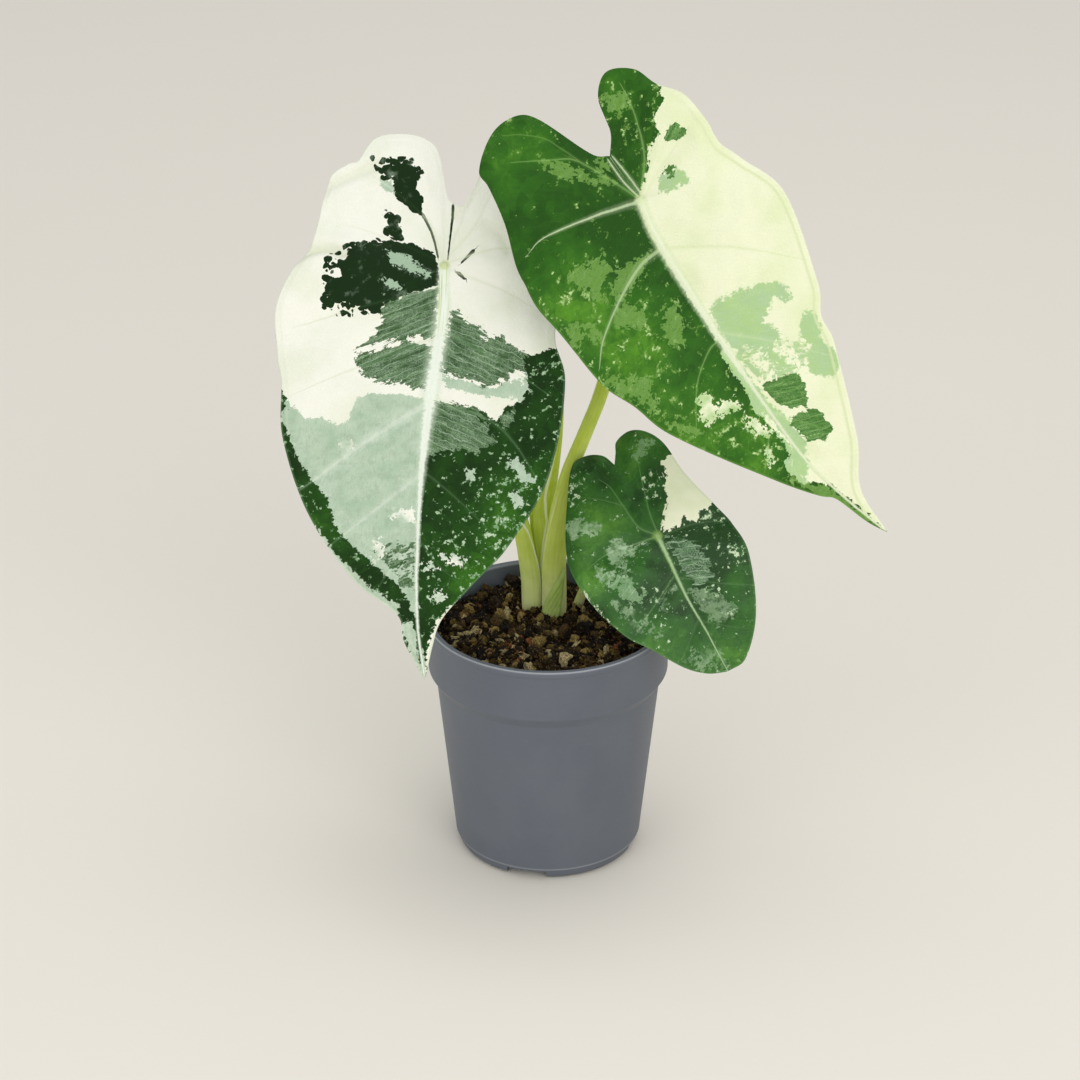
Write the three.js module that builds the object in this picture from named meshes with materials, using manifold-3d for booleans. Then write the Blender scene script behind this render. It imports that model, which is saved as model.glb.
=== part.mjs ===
// A young variegated Alocasia 'Frydek' with three arrow-shaped leaves, in a round nursery pot.
// Millimetres, +Z up. The origin is on the pot's axis, on the surface that the pot stands on,
// and -Y is the side that the leaves face.
import * as THREE from 'three';
import { mergeVertices } from 'three/addons/utils/BufferGeometryUtils.js';
import Module from 'manifold-3d';

const wasm = await Module();
wasm.setup();

// ---- driving dimensions ----

const clearance = 0.3;          // air between neighbouring pieces

const potHeight = 62.5;
const lipRadius = 30;
const collarRadius = 29.6;      // the wide band under the lip
const collarBottom = 49;
const shoulderRadius = 27.8;    // top of the tapering body, under the collar's step
const shoulderHeight = 46.8;
const footRadius = 22.3;
const wall = 1.3;
const floorTop = 4.6;
const roundSides = 48;
// [out from the radius named, up from the height named] along the pot's outline.
const footCurve = [[-0.8, 0], [-0.2, 0.3], [0.3, 1.1], [0.6, 2.7], [1, 3.2]];
const shoulderCurve = [[-0.1, -0.6], [0.3, 0]];
const collarCurve = [[-0.5, -0.6], [0, 0]];
const lipCurve = [[-0.3, -1.9], [0, -1.5], [0, -0.3], [-0.4, 0]];
const innerStep = 0.7;          // how far above the collar's bottom the inside steps out
const floorRound = 0.6;         // rounding between the floor and the wall, inside

const drainChannel = { count: 4, width: 10, depth: 2, from: 9, turn: -104 };
const drainHole = { radius: 2.8, at: 14.5, sides: 16 };

const soilLevel = 56.8;
const soilInset = 0.4;
const soilRings = 14;
// Lumps on the soil. They start flat from the wall and are full from full on, in mm from it.
const lumps = { count: 130, smallest: 1.6, largest: 3.6, tallest: 1.9, seed: 20, flat: 0.5, full: 3 };

const corm = {
  at: [-0.4, 13.3], top: 48, bottom: 37, radius: 7.2, neck: 6.6,
  belly: [[0.55, 0.06], [0.85, 0.25], [1, 0.55]],     // [share of the radius, share of the height]
};
const stemFoot = corm.top + clearance;

const bladeThickness = 0.8;
const ribRelief = 1;            // how far the midrib stands out under a blade
const ribHalfWidth = 2;         // half width of the rounded valley along the midrib
const veinLean = 0.45;          // how far a side vein runs forward for each mm outward
const rippleReach = 20;         // mm from the midrib where a margin's waves are full
const ripplePhases = [1, 3];    // of the two halves, in radians

// Blades. A point of a blade has u mm across, from the midrib, and v mm along it from the petiole,
// and the notch between the two back lobes has a negative v. heading and droop aim the tip, in
// degrees, and roll turns the blade about its midrib. arch is the midrib's curvature, fold the slope
// of each half up from the midrib, and curl how the half falls again towards its margin. sway lists
// [v, sideways mm] along the midrib. Each margin runs from the notch round the lobe to the tip.
const leftLeaf = {
  attach: [-24.5, 9, 150.8],
  heading: -92, droop: 46, roll: 7,
  arch: 0.0052, fold: 0.2, curl: 0.003,
  wave: 0.7, waveLength: 31,
  sway: [[0, 0], [15, -0.5], [30, -2.5], [50, -5], [70, -6.5], [85, -7], [98, -6]],
  margins: [
    [[1.5, -16], [0, -18], [-3, -30.5], [-6.5, -34], [-12, -35], [-18, -33.5], [-21.5, -27], [-24, -26],
      [-28.5, -22], [-31.5, -6.5], [-34, -2.5], [-39.5, 10], [-38, 21], [-35.5, 28.5], [-33.5, 41],
      [-26.5, 57.5], [-14.5, 74.5], [-4.5, 83], [-3.5, 89.5], [0, 98.5]],
    [[1.5, -16], [4, -16], [10, -28], [13.5, -29], [21.5, -21], [28, 3], [28, 19], [32, 30], [30.5, 52],
      [22, 67], [13.5, 76], [6, 84], [3, 90.5], [0, 98.5]],
  ],
};
const rightLeaf = {
  attach: [21, -6, 173.2],
  heading: -45, droop: 36, roll: 48,
  arch: 0.0045, fold: 0.2, curl: 0.003,
  wave: 0.7, waveLength: 34,
  sway: [[0, 0], [8, -2.2], [25, -4], [45, -5.5], [70, -6.5], [82, -5], [96, -2]],
  margins: [
    [[0.5, -13], [-2.5, -16], [-7.5, -31], [-11, -35], [-17.5, -35], [-25.5, -29], [-26, -24.5],
      [-28, -15.5], [-32.5, -1], [-30, 14], [-28, 29], [-24.5, 37.5], [-21.5, 47], [-9, 68.5],
      [-3.5, 79], [-1.5, 82], [-1, 90.5], [0, 95.5]],
    [[0.5, -13], [4, -17.5], [6.5, -26], [11.5, -29.5], [17, -25.5], [19, -19], [22.5, -12.5], [23, -4],
      [22.5, 1], [26, 7.5], [30.5, 20], [25.5, 41], [22, 47], [21, 53.5], [12.5, 73], [4, 83.5],
      [0, 95.5]],
  ],
};
const smallLeaf = {
  attach: [26.2, -10, 89],
  heading: -51, droop: 42, roll: 42,
  arch: 0.009, fold: 0.2, curl: 0.005,
  wave: 0.35, waveLength: 17,
  sway: [[0, 0], [17, -1], [36.5, -1]],
  margins: [
    [[-1, -21], [-2.5, -24.5], [-6, -26.5], [-10, -26], [-15, -18.5], [-22, -5], [-21.5, 6], [-17.5, 17],
      [-13.5, 23], [-9, 30.5], [-5, 34.5], [-1, 36.5]],
    [[-1, -21], [0.5, -23.5], [2, -26], [6, -26.5], [9.5, -24], [12, -19], [13, -10], [15.5, 0],
      [17.5, 6.5], [18, 14.5], [12.5, 27.5], [4.5, 36], [-1, 36.5]],
  ],
};

// Stems. Each station is [x, y, z, half width, half depth]. A petiole's last stations come from
// its blade, which it meets square.
const leftPetiole = [
  [-3.9, 13.6, stemFoot, 1.9, 1.8], [-4.1, 13.7, 57, 2.3, 2.2], [-4.5, 14, 65.9, 2.35, 2.1],
  [-6.3, 15, 77.4, 2.2, 1.9], [-8.7, 16, 85.7, 2, 1.8], [-15.9, 19.5, 111.2, 1.75, 1.7],
  [-19.9, 20.5, 127, 1.65, 1.6], [-22.4, 18.6, 139.5, 1.5, 1.5],
];
const rightPetiole = [
  [1.7, 11.9, stemFoot, 2.4, 1.9], [1.6, 11.3, 57, 2.95, 2.3], [1.6, 11.1, 71.6, 2.95, 2.2],
  [2.8, 11, 83, 2.6, 2.1], [4.6, 10.5, 93.9, 2, 1.9], [6.9, 10.2, 101.3, 1.85, 1.85],
  [12.1, 9.2, 115.9, 1.7, 1.7], [17, 8, 134.8, 1.6, 1.6], [20.4, 6.8, 151, 1.5, 1.5],
  [21.9, 3.4, 164, 1.4, 1.4],
];
const smallPetiole = [
  [4.7, 15.4, stemFoot, 1.2, 1.2], [7.3, 14.9, 56.5, 1.2, 1.2], [9.7, 13.6, 63.3, 1.15, 1.15],
  [14.5, 10, 71, 1.1, 1.1], [20.8, 4, 78.4, 1.05, 1.05], [25.4, -2.6, 84, 1, 1],
];
const newShoot = [
  [-0.5, 16.8, stemFoot, 1.7, 1.5], [0, 16.9, 59, 2, 1.8], [-0.9, 17, 68.6, 2.5, 1.8],
  [-1.6, 17, 80, 3, 1.8], [-1.2, 16.8, 87, 3, 1.7], [0.3, 16.5, 94, 2.4, 1.5],
  [1.9, 16.2, 102, 1.6, 1.2], [3, 16, 109.7, 0.85, 0.75], [3.3, 15.9, 114.8, 0.3, 0.3],
];
const stemSides = 12;
const stemStep = 5;             // mm between a stem's rings
const squareEnd = 3;            // length of a petiole that is square to its blade

// The short outer sheath that wraps the front of the right petiole's foot. left, right and tip are
// degrees round the petiole from +X, with -90 at the front. The left edge stays upright up to
// leanFrom, a share of the height, and then leans to the tip. The right edge leans all the way.
const sheath = {
  thickness: 0.7, gap: 0.4, top: 71, tip: -55, left: -176, right: -88,
  leanFrom: 0.42, leftLean: 0.75, rightLean: 2, tipWidth: 5, rows: 9, columns: 10,
};

const tinyStep = 0.05;          // for slopes

// ---- helpers ----

const degrees = THREE.MathUtils.degToRad;
const vector = (values) => new THREE.Vector3(...values);

function randomFrom(seed) {
  let state = seed;
  return () => {
    state = (state * 1664525 + 1013904223) % 4294967296;
    return state / 4294967296;
  };
}

// A smooth curve through rows of values, at the given knots.
function rowSpline(knots, rows) {
  const slope = (i, c) => {
    const before = Math.max(i - 1, 0);
    const after = Math.min(i + 1, rows.length - 1);
    return (rows[after][c] - rows[before][c]) / (knots[after] - knots[before]);
  };
  return (knot) => {
    const x = THREE.MathUtils.clamp(knot, knots[0], knots.at(-1));
    let i = 0;
    while (i < knots.length - 2 && x > knots[i + 1]) i += 1;
    const span = knots[i + 1] - knots[i];
    const t = (x - knots[i]) / span;
    const rise = 3 * t * t - 2 * t * t * t;
    return rows[i].map((value, c) => value + (rows[i + 1][c] - value) * rise
      + span * t * (1 - t) * ((1 - t) * slope(i, c) - t * slope(i + 1, c)));
  };
}

function knotsAlong(rows, axes, power) {
  const knots = [0];
  for (let i = 1; i < rows.length; i += 1) {
    const step = Math.hypot(...axes.map((axis) => rows[i][axis] - rows[i - 1][axis]));
    knots.push(knots[i - 1] + step ** power);
  }
  return knots;
}

function meshGeometry(points, triangles) {
  const geometry = new THREE.BufferGeometry();
  geometry.setAttribute('position', new THREE.Float32BufferAttribute(points.flat(), 3));
  geometry.setIndex(triangles.flat());
  geometry.computeVertexNormals();
  return geometry;
}

function toSolid(geometry) {
  const bare = geometry.clone();
  bare.deleteAttribute('normal');
  bare.deleteAttribute('uv');
  const merged = mergeVertices(bare, 1e-4);
  const corners = merged.index.array;
  const kept = [];
  for (let i = 0; i < corners.length; i += 3) {
    const [a, b, c] = corners.slice(i, i + 3);
    if (a !== b && b !== c && c !== a) kept.push(a, b, c);
  }
  const mesh = new wasm.Mesh({
    numProp: 3,
    vertProperties: new Float32Array(merged.attributes.position.array),
    triVerts: new Uint32Array(kept),
  });
  return new wasm.Manifold(mesh);
}

function fromSolid(solid) {
  const mesh = solid.getMesh();
  const geometry = new THREE.BufferGeometry();
  geometry.setAttribute('position', new THREE.BufferAttribute(mesh.vertProperties, 3));
  geometry.setIndex(new THREE.BufferAttribute(mesh.triVerts, 1));
  geometry.computeVertexNormals();
  return geometry;
}

const cutAll = (geometry, cutters) => fromSolid(
  cutters.reduce((solid, cutter) => solid.subtract(toSolid(cutter)), toSolid(geometry)),
);

// A solid turned about the Z axis from [radius, height] pairs, lowest first on the axis.
function turned(profile, sides) {
  const points = profile.map(([radius, height]) => new THREE.Vector2(radius, height));
  return new THREE.LatheGeometry(points, sides).rotateX(Math.PI / 2);
}

// ---- pot ----

// A stretch of outline, from its own offsets.
const outlineFrom = (radius, height, curve) => curve.map(([out, up]) => [radius + out, height + up]);

// The pot's inside, from the floor up to the wall inside the collar.
const insideOutline = [
  [footRadius - 1, floorTop], [footRadius - 1 + floorRound, floorTop + floorRound],
  [shoulderRadius - wall, shoulderHeight], [collarRadius - wall, collarBottom + innerStep],
];

function potGeometry() {
  const body = turned([
    [0, 0],
    ...outlineFrom(footRadius, 0, footCurve),
    ...outlineFrom(shoulderRadius, shoulderHeight, shoulderCurve),
    ...outlineFrom(collarRadius, collarBottom, collarCurve),
    ...outlineFrom(lipRadius, potHeight, lipCurve),
    [collarRadius - wall, potHeight],
    ...insideOutline.toReversed(),
    [0, floorTop],
  ], roundSides);
  const cutters = [];
  for (let i = 0; i < drainChannel.count; i += 1) {
    const angle = degrees(drainChannel.turn + (360 * i) / drainChannel.count);
    const length = lipRadius - drainChannel.from;
    const channel = new THREE.BoxGeometry(length, drainChannel.width, drainChannel.depth * 2);
    channel.translate(drainChannel.from + length / 2, 0, 0);
    cutters.push(channel.rotateZ(angle));
    const { radius, at, sides } = drainHole;
    const hole = new THREE.CylinderGeometry(radius, radius, floorTop * 3, sides);
    hole.rotateX(Math.PI / 2).translate(at, 0, 0);
    cutters.push(hole.rotateZ(angle));
  }
  return cutAll(body, cutters);
}

// ---- soil ----

// Height of the crumbly surface above soilLevel. It levels out at the pot's wall.
function soilRelief() {
  const random = randomFrom(lumps.seed);
  const bumps = Array.from({ length: lumps.count }, () => {
    const reach = (collarRadius - wall) * Math.sqrt(random());
    const angle = 2 * Math.PI * random();
    const size = THREE.MathUtils.lerp(lumps.smallest, lumps.largest, random());
    return {
      x: reach * Math.cos(angle), y: reach * Math.sin(angle), size, height: lumps.tallest * random(),
    };
  });
  return (x, y) => {
    const fromWall = collarRadius - wall - Math.hypot(x, y);
    const edge = THREE.MathUtils.smoothstep(fromWall, lumps.flat, lumps.full);
    const heights = bumps.map((bump) => {
      const away = Math.hypot(x - bump.x, y - bump.y) / bump.size;
      return away < 1 ? bump.height * Math.sqrt(1 - away * away) : 0;
    });
    return edge * Math.max(...heights);
  };
}

function soilGeometry(holes) {
  const top = collarRadius - wall - soilInset;
  const rings = Array.from({ length: soilRings }, (_, i) => [top * (1 - (i + 1) / soilRings), soilLevel]);
  const wallSide = insideOutline.map(([radius, height]) => [radius - soilInset, height + clearance]);
  const body = turned([[0, floorTop + clearance], ...wallSide, [top, soilLevel], ...rings], roundSides);
  const relief = soilRelief();
  const { position } = body.attributes;
  for (let i = 0; i < position.count; i += 1) {
    if (Math.abs(position.getZ(i) - soilLevel) < 1e-3) {
      position.setZ(i, soilLevel + relief(position.getX(i), position.getY(i)));
    }
  }
  return cutAll(body, holes);
}

// ---- stems ----

// A stem along its stations, with every ring square to the path. grow widens it all round.
function stemGeometry(stations, grow = 0, sides = stemSides) {
  const knots = knotsAlong(stations, [0, 1, 2], 1);
  const path = rowSpline(knots, stations);
  const length = knots.at(-1);
  const rings = Math.round(length / stemStep);
  const points = [];
  const triangles = [];
  for (let i = 0; i <= rings; i += 1) {
    const at = (length * i) / rings;
    const [x, y, z, halfWidth, halfDepth] = path(at);
    const ahead = vector(path(Math.min(at + tinyStep, length)).slice(0, 3));
    const tangent = ahead.sub(vector(path(Math.min(at, length - tinyStep)).slice(0, 3))).normalize();
    const depthAxis = new THREE.Vector3().crossVectors(tangent, new THREE.Vector3(1, 0, 0)).normalize();
    const widthAxis = new THREE.Vector3().crossVectors(depthAxis, tangent);
    for (let k = 0; k < sides; k += 1) {
      const angle = (2 * Math.PI * k) / sides;
      const point = new THREE.Vector3(x, y, z)
        .addScaledVector(widthAxis, (halfWidth + grow) * Math.cos(angle))
        .addScaledVector(depthAxis, (halfDepth + grow) * Math.sin(angle));
      points.push(point.toArray());
    }
  }
  const last = rings * sides;
  for (let k = 0; k < sides; k += 1) {
    const next = (k + 1) % sides;
    for (let i = 0; i < last; i += sides) {
      triangles.push([i + k, i + next, i + sides + next], [i + k, i + sides + next, i + sides + k]);
    }
    if (k > 0 && next > 0) {
      triangles.push([0, next, k], [last, last + k, last + next]);
    }
  }
  return meshGeometry(points, triangles);
}

// The stem's stations, carried on to end square against the underside of its blade.
function petioleStations(stations, leaf, halfWidth) {
  const { normal } = leafAxes(leaf);
  const seat = bladeThickness + ribRelief + clearance;
  const end = [squareEnd, 0].map((below) => {
    const point = vector(leaf.attach).addScaledVector(normal, -seat - below);
    return [...point.toArray(), halfWidth, halfWidth];
  });
  return [...stations, ...end];
}

// The foot of a stem, up past the soil's lumps, grown by the clearance: the shape of its hole.
function stemHole(stations) {
  const grown = stations.map((station) => [...station]);
  grown[0][2] -= 2 * clearance;
  return stemGeometry(grown, clearance);
}

// grow widens the sheath all round, for the slot that it stands in.
function sheathGeometry(grow = 0) {
  const { lerp } = THREE.MathUtils;
  const path = rowSpline(rightPetiole.map((station) => station[2]), rightPetiole);
  const wider = THREE.MathUtils.radToDeg(grow / rightPetiole[1][3]);
  const points = [];
  const sheet = (offset) => {
    for (let row = 0; row <= sheath.rows; row += 1) {
      const rise = row / sheath.rows;
      const leaning = Math.max((rise - sheath.leanFrom) / (1 - sheath.leanFrom), 0);
      const left = lerp(sheath.left, sheath.tip - sheath.tipWidth / 2, leaning ** sheath.leftLean) - wider;
      const right = lerp(sheath.right, sheath.tip + sheath.tipWidth / 2, rise ** sheath.rightLean) + wider;
      const z = lerp(stemFoot - 2 * grow, sheath.top, rise);
      const [x, y, , halfWidth, halfDepth] = path(z);
      for (let column = 0; column <= sheath.columns; column += 1) {
        const angle = degrees(lerp(left, right, column / sheath.columns));
        const across = (halfWidth + offset) * Math.cos(angle);
        const back = (halfDepth + offset) * Math.sin(angle);
        points.push([x + across, y + back, z]);
      }
    }
  };
  sheet(sheath.gap + sheath.thickness + grow);
  sheet(sheath.gap - grow);
  const width = sheath.columns + 1;
  const sheetSize = width * (sheath.rows + 1);
  const triangles = [];
  const strip = (a, b, c, d) => triangles.push([a, b, c], [a, c, d]);
  for (let row = 0; row < sheath.rows; row += 1) {
    const low = row * width;
    const high = low + width;
    for (let column = 0; column < sheath.columns; column += 1) {
      strip(low + column, low + column + 1, high + column + 1, high + column);
      strip(
        sheetSize + low + column, sheetSize + high + column,
        sheetSize + high + column + 1, sheetSize + low + column + 1,
      );
    }
    const right = low + sheath.columns;
    strip(low, high, sheetSize + high, sheetSize + low);
    strip(right, sheetSize + right, sheetSize + right + width, right + width);
  }
  const topRow = sheath.rows * width;
  for (let column = 0; column < sheath.columns; column += 1) {
    strip(column, sheetSize + column, sheetSize + column + 1, column + 1);
    const top = topRow + column;
    strip(top, top + 1, sheetSize + top + 1, sheetSize + top);
  }
  return meshGeometry(points, triangles);
}

function cormGeometry(grow = 0) {
  const { top, bottom, radius, neck, belly } = corm;
  const profile = [[0, bottom - grow]];
  for (const [across, up] of belly) {
    profile.push([radius * across + grow, THREE.MathUtils.lerp(bottom, top, up) - grow]);
  }
  profile.push([neck + grow, top + grow], [0, top + grow]);
  return turned(profile, stemSides).translate(...corm.at, 0);
}

// ---- blades ----

// The blade's own axes where the petiole meets it: along the midrib, across it, and up.
function leafAxes(leaf) {
  const heading = degrees(leaf.heading);
  const droop = degrees(leaf.droop);
  const ahead = new THREE.Vector3(Math.cos(heading), Math.sin(heading), 0);
  const along = ahead.clone().multiplyScalar(Math.cos(droop));
  along.z = -Math.sin(droop);
  const level = ahead.clone().multiplyScalar(Math.sin(droop));
  level.z = Math.cos(droop);
  const normal = level.applyAxisAngle(along, degrees(leaf.roll));
  const across = new THREE.Vector3().crossVectors(normal, along);
  return { along, across, normal };
}

// The upper face as a function of the flat blade's u and v.
function leafSurface(leaf) {
  const { along, across, normal } = leafAxes(leaf);
  const sway = rowSpline(leaf.sway.map((row) => row[0]), leaf.sway.map((row) => [row[1]]));
  const surface = (u, v) => {
    const turn = leaf.arch * v;
    const valley = leaf.fold * (Math.hypot(u, ribHalfWidth) - ribHalfWidth) - leaf.curl * u * u;
    const phase = (2 * Math.PI * v) / leaf.waveLength + ripplePhases[u < 0 ? 0 : 1];
    const ripple = leaf.wave * Math.min((u / rippleReach) ** 2, 1) * Math.sin(phase);
    const height = valley + ripple;
    return vector(leaf.attach)
      .addScaledVector(along, Math.sin(turn) / leaf.arch + height * Math.sin(turn))
      .addScaledVector(normal, (Math.cos(turn) - 1) / leaf.arch + height * Math.cos(turn))
      .addScaledVector(across, u + sway(v)[0]);
  };
  return surface;
}

const lobeKnots = 5;            // a margin's first points, which lie round the lobe
const halvings = 40;

// Margin points for one half: lobeSteps of them round the lobe, where the fan of rays starts at the
// petiole, then ribSteps of them, each at the end of a ray that leaves the midrib further on.
function marginRays(margin, lobeSteps, ribSteps) {
  const knots = knotsAlong(margin, [0, 1], 0.5);
  const curve = rowSpline(knots, margin);
  const ribStart = (knot) => {
    const [u, v] = curve(knot);
    return v - veinLean * Math.abs(u);
  };
  const knotFor = (start) => {
    let low = knots[lobeKnots];
    let high = knots.at(-1);
    for (let i = 0; i < halvings; i += 1) {
      const middle = (low + high) / 2;
      if (ribStart(middle) < start) low = middle;
      else high = middle;
    }
    return high;
  };
  const lobeEnd = knotFor(0);
  const rays = [];
  for (let i = 0; i < lobeSteps; i += 1) {
    rays.push({ from: 0, to: curve((lobeEnd * i) / lobeSteps) });
  }
  const length = margin.at(-1)[1];
  for (let i = 0; i <= ribSteps; i += 1) {
    const from = (length * i) / ribSteps;
    rays.push({ from, to: i < ribSteps ? curve(knotFor(from)) : margin.at(-1) });
  }
  return rays;
}

function bladeGeometry(leaf, lobeSteps, ribSteps, rayStops) {
  const surface = leafSurface(leaf);
  const flat = [];
  const thickness = [];
  const seen = new Map();
  const vertex = ([u, v], onRib) => {
    const key = `${u.toFixed(4)},${v.toFixed(4)}`;
    if (!seen.has(key)) {
      seen.set(key, flat.length);
      flat.push([u, v]);
      const toTip = Math.max(1 - v / leaf.margins[0].at(-1)[1], 0);
      thickness.push(bladeThickness + (onRib ? ribRelief * Math.sqrt(toTip) : 0));
    }
    return seen.get(key);
  };
  const upper = [];
  const rim = [];
  leaf.margins.forEach((margin, half) => {
    const rays = marginRays(margin, lobeSteps, ribSteps).map(({ from, to }) => rayStops.map(
      (stop) => vertex([to[0] * stop, from + (to[1] - from) * stop], stop === 0),
    ));
    for (let i = 0; i + 1 < rays.length; i += 1) {
      for (let k = 0; k + 1 < rayStops.length; k += 1) {
        const [a, b, c, d] = [rays[i][k], rays[i][k + 1], rays[i + 1][k + 1], rays[i + 1][k]];
        for (const corner of [[a, b, c], [a, c, d]]) {
          if (new Set(corner).size === 3) upper.push(half === 0 ? corner : corner.reverse());
        }
      }
      const edge = [rays[i].at(-1), rays[i + 1].at(-1)];
      rim.push(half === 0 ? edge : edge.reverse());
    }
  });
  const size = flat.length;
  const tops = flat.map(([u, v]) => surface(u, v));
  const unders = flat.map(([u, v], i) => {
    const acrossStep = surface(u + tinyStep, v).sub(surface(u - tinyStep, v));
    const alongStep = surface(u, v + tinyStep).sub(surface(u, v - tinyStep));
    return tops[i].clone().addScaledVector(alongStep.cross(acrossStep).normalize(), -thickness[i]);
  });
  const triangles = [
    ...upper,
    ...upper.map(([a, b, c]) => [size + a, size + c, size + b]),
    ...rim.flatMap(([a, b]) => [[b, a, size + a], [b, size + a, size + b]]),
  ];
  return meshGeometry([...tops, ...unders].map((point) => point.toArray()), triangles);
}

// ---- assembly ----

const plant = new THREE.Group();

function add(name, geometry, color, roughness) {
  const material = new THREE.MeshStandardMaterial({ color, roughness, metalness: 0 });
  const mesh = new THREE.Mesh(geometry, material);
  mesh.name = name;
  plant.add(mesh);
}

const leftStem = petioleStations(leftPetiole, leftLeaf, 1.4);
const rightStem = petioleStations(rightPetiole, rightLeaf, 1.3);
const smallStem = petioleStations(smallPetiole, smallLeaf, 0.95);
const largeStops = [0, 0.05, 0.22, 0.44, 0.66, 0.85, 1];
const smallStops = [0, 0.07, 0.3, 0.55, 0.8, 1];

const holes = [
  cormGeometry(clearance), sheathGeometry(clearance),
  ...[leftStem, rightStem, smallStem, newShoot].map(stemHole),
];

add('pot', potGeometry(), 0x6b6e72, 0.55);
add('soil', soilGeometry(holes), 0x3a2a1a, 1);
add('corm', cormGeometry(), 0x6b4a2a, 0.9);
add('left_petiole', stemGeometry(leftStem), 0x9ba83c, 0.5);
add('right_petiole', stemGeometry(rightStem), 0x9ba83c, 0.5);
add('small_petiole', stemGeometry(smallStem, 0, 10), 0x8fa04a, 0.5);
add('new_shoot', stemGeometry(newShoot), 0x8f9f38, 0.5);
add('base_sheath', sheathGeometry(), 0x5f7a2c, 0.6);
add('left_blade', bladeGeometry(leftLeaf, 20, 22, largeStops), 0xc9d6b4, 0.45);
add('right_blade', bladeGeometry(rightLeaf, 20, 22, largeStops), 0x8fae62, 0.45);
add('small_blade', bladeGeometry(smallLeaf, 14, 12, smallStops), 0x4f7d45, 0.45);

export default plant;
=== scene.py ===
import itertools
import math

import bpy
import numpy as np
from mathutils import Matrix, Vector


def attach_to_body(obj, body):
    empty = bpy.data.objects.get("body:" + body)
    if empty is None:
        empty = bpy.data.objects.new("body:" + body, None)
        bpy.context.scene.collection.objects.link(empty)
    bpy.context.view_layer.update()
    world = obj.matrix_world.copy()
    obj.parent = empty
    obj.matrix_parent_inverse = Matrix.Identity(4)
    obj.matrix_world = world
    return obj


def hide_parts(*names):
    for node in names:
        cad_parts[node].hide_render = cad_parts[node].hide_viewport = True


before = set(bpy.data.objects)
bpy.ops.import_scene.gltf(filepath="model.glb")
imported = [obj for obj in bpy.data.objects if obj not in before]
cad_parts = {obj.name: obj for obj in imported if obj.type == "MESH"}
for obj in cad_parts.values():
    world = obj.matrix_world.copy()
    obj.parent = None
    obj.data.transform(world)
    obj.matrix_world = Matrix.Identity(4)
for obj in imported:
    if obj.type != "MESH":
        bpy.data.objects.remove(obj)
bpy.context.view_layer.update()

# Lengths below are millimetres, +Z up, with the origin on the pot's axis where it stands.
mm = 0.001

view = {"target": (-2, 0, 82.8), "distance": 800, "elevation": 27, "focalPixels": 3294, "imagePixels": 1080}
sensorWidth = 36

pot = {
    "height": 62.5, "lipRadius": 30, "collarRadius": 29.6, "collarBottom": 49,
    "shoulderRadius": 27.8, "shoulderHeight": 46.8, "footRadius": 22.3, "wall": 1.3, "floorTop": 4.6,
    "rounding": 0.22, "sharpAngle": 38, "sides": 240,
}
drainChannel = {"count": 4, "width": 10, "depth": 2, "start": 9, "turn": -104}
drainHole = {"radius": 2.8, "at": 14.5, "from": -5, "to": 12, "sides": 48}

soilLevel = 56.8
stemFoot = 48.3

veinLean = 0.45
ribHalfWidth = 2
bladeThickness = 0.8
ribRelief = 1
clearance = 0.3

# A mark's distance field ends at farAway mm, a stroke's strength at strokeReach half widths, and a
# blade's UV maps span mapSpan mm.
farAway = 9
strokeReach = 4
mapSpan = 250


# Meshes.

def makePiece(name, points, faces, maps=None, fields=None, smooth=True):
    mesh = bpy.data.meshes.new(name)
    mesh.from_pydata((np.asarray(points) * mm).tolist(), [], faces)
    mesh.polygons.foreach_set("use_smooth", np.full(len(mesh.polygons), smooth))
    corners = np.empty(len(mesh.loops), np.int32)
    mesh.loops.foreach_get("vertex_index", corners)
    for label, values in (maps or {}).items():
        layer = mesh.uv_layers.new(name=label)
        layer.data.foreach_set("uv", np.asarray(values, np.float32)[corners].ravel())
    for label, values in (fields or {}).items():
        layer = mesh.attributes.new(label, "FLOAT", "POINT")
        layer.data.foreach_set("value", np.asarray(values, np.float32))
    mesh.update()
    piece = bpy.data.objects.new(name, mesh)
    bpy.context.scene.collection.objects.link(piece)
    return piece


# The quads of a grid of vertices, row after row, closed into a tube if its columns run all round.
def gridFaces(rows, columns, closed=False, first=0):
    across = columns if closed else columns - 1
    row, column = np.meshgrid(np.arange(rows - 1), np.arange(across), indexing="ij")
    beside = (column + 1) % columns
    low = first + row * columns
    quads = np.stack([low + column, low + beside, low + columns + beside, low + columns + column], axis=-1)
    return quads.reshape(-1, 4)


# Faces of a grid whose vertices were merged: a quad that lost a corner becomes a triangle.
def mergedFaces(quads):
    faces = []
    for quad in quads.tolist():
        face = [corner for k, corner in enumerate(quad) if corner != quad[k - 1]]
        if len(set(face)) == len(face) and len(face) > 2:
            faces.append(face)
    return faces


def unit(vectors):
    return vectors / np.linalg.norm(vectors, axis=-1, keepdims=True)


# A smooth curve through rows of values: between two knots a cubic, whose slope at each knot is that of
# the line between the knots beside it.
def spline(knots, rows, at):
    knots = np.asarray(knots, float)
    rows = np.asarray(rows, float)
    at = np.clip(np.asarray(at, float), knots[0], knots[-1])
    order = np.arange(len(knots))
    ahead = np.minimum(order + 1, len(knots) - 1)
    behind = np.maximum(order - 1, 0)
    slopes = (rows[ahead] - rows[behind]) / (knots[ahead] - knots[behind])[:, None]
    i = np.clip(np.searchsorted(knots, at) - 1, 0, len(knots) - 2)
    span = (knots[i + 1] - knots[i])[:, None]
    t = (at - knots[i])[:, None] / span
    rise = 3 * t**2 - 2 * t**3
    bend = span * t * (1 - t) * ((1 - t) * slopes[i] - t * slopes[i + 1])
    return rows[i] + (rows[i + 1] - rows[i]) * rise + bend


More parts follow.
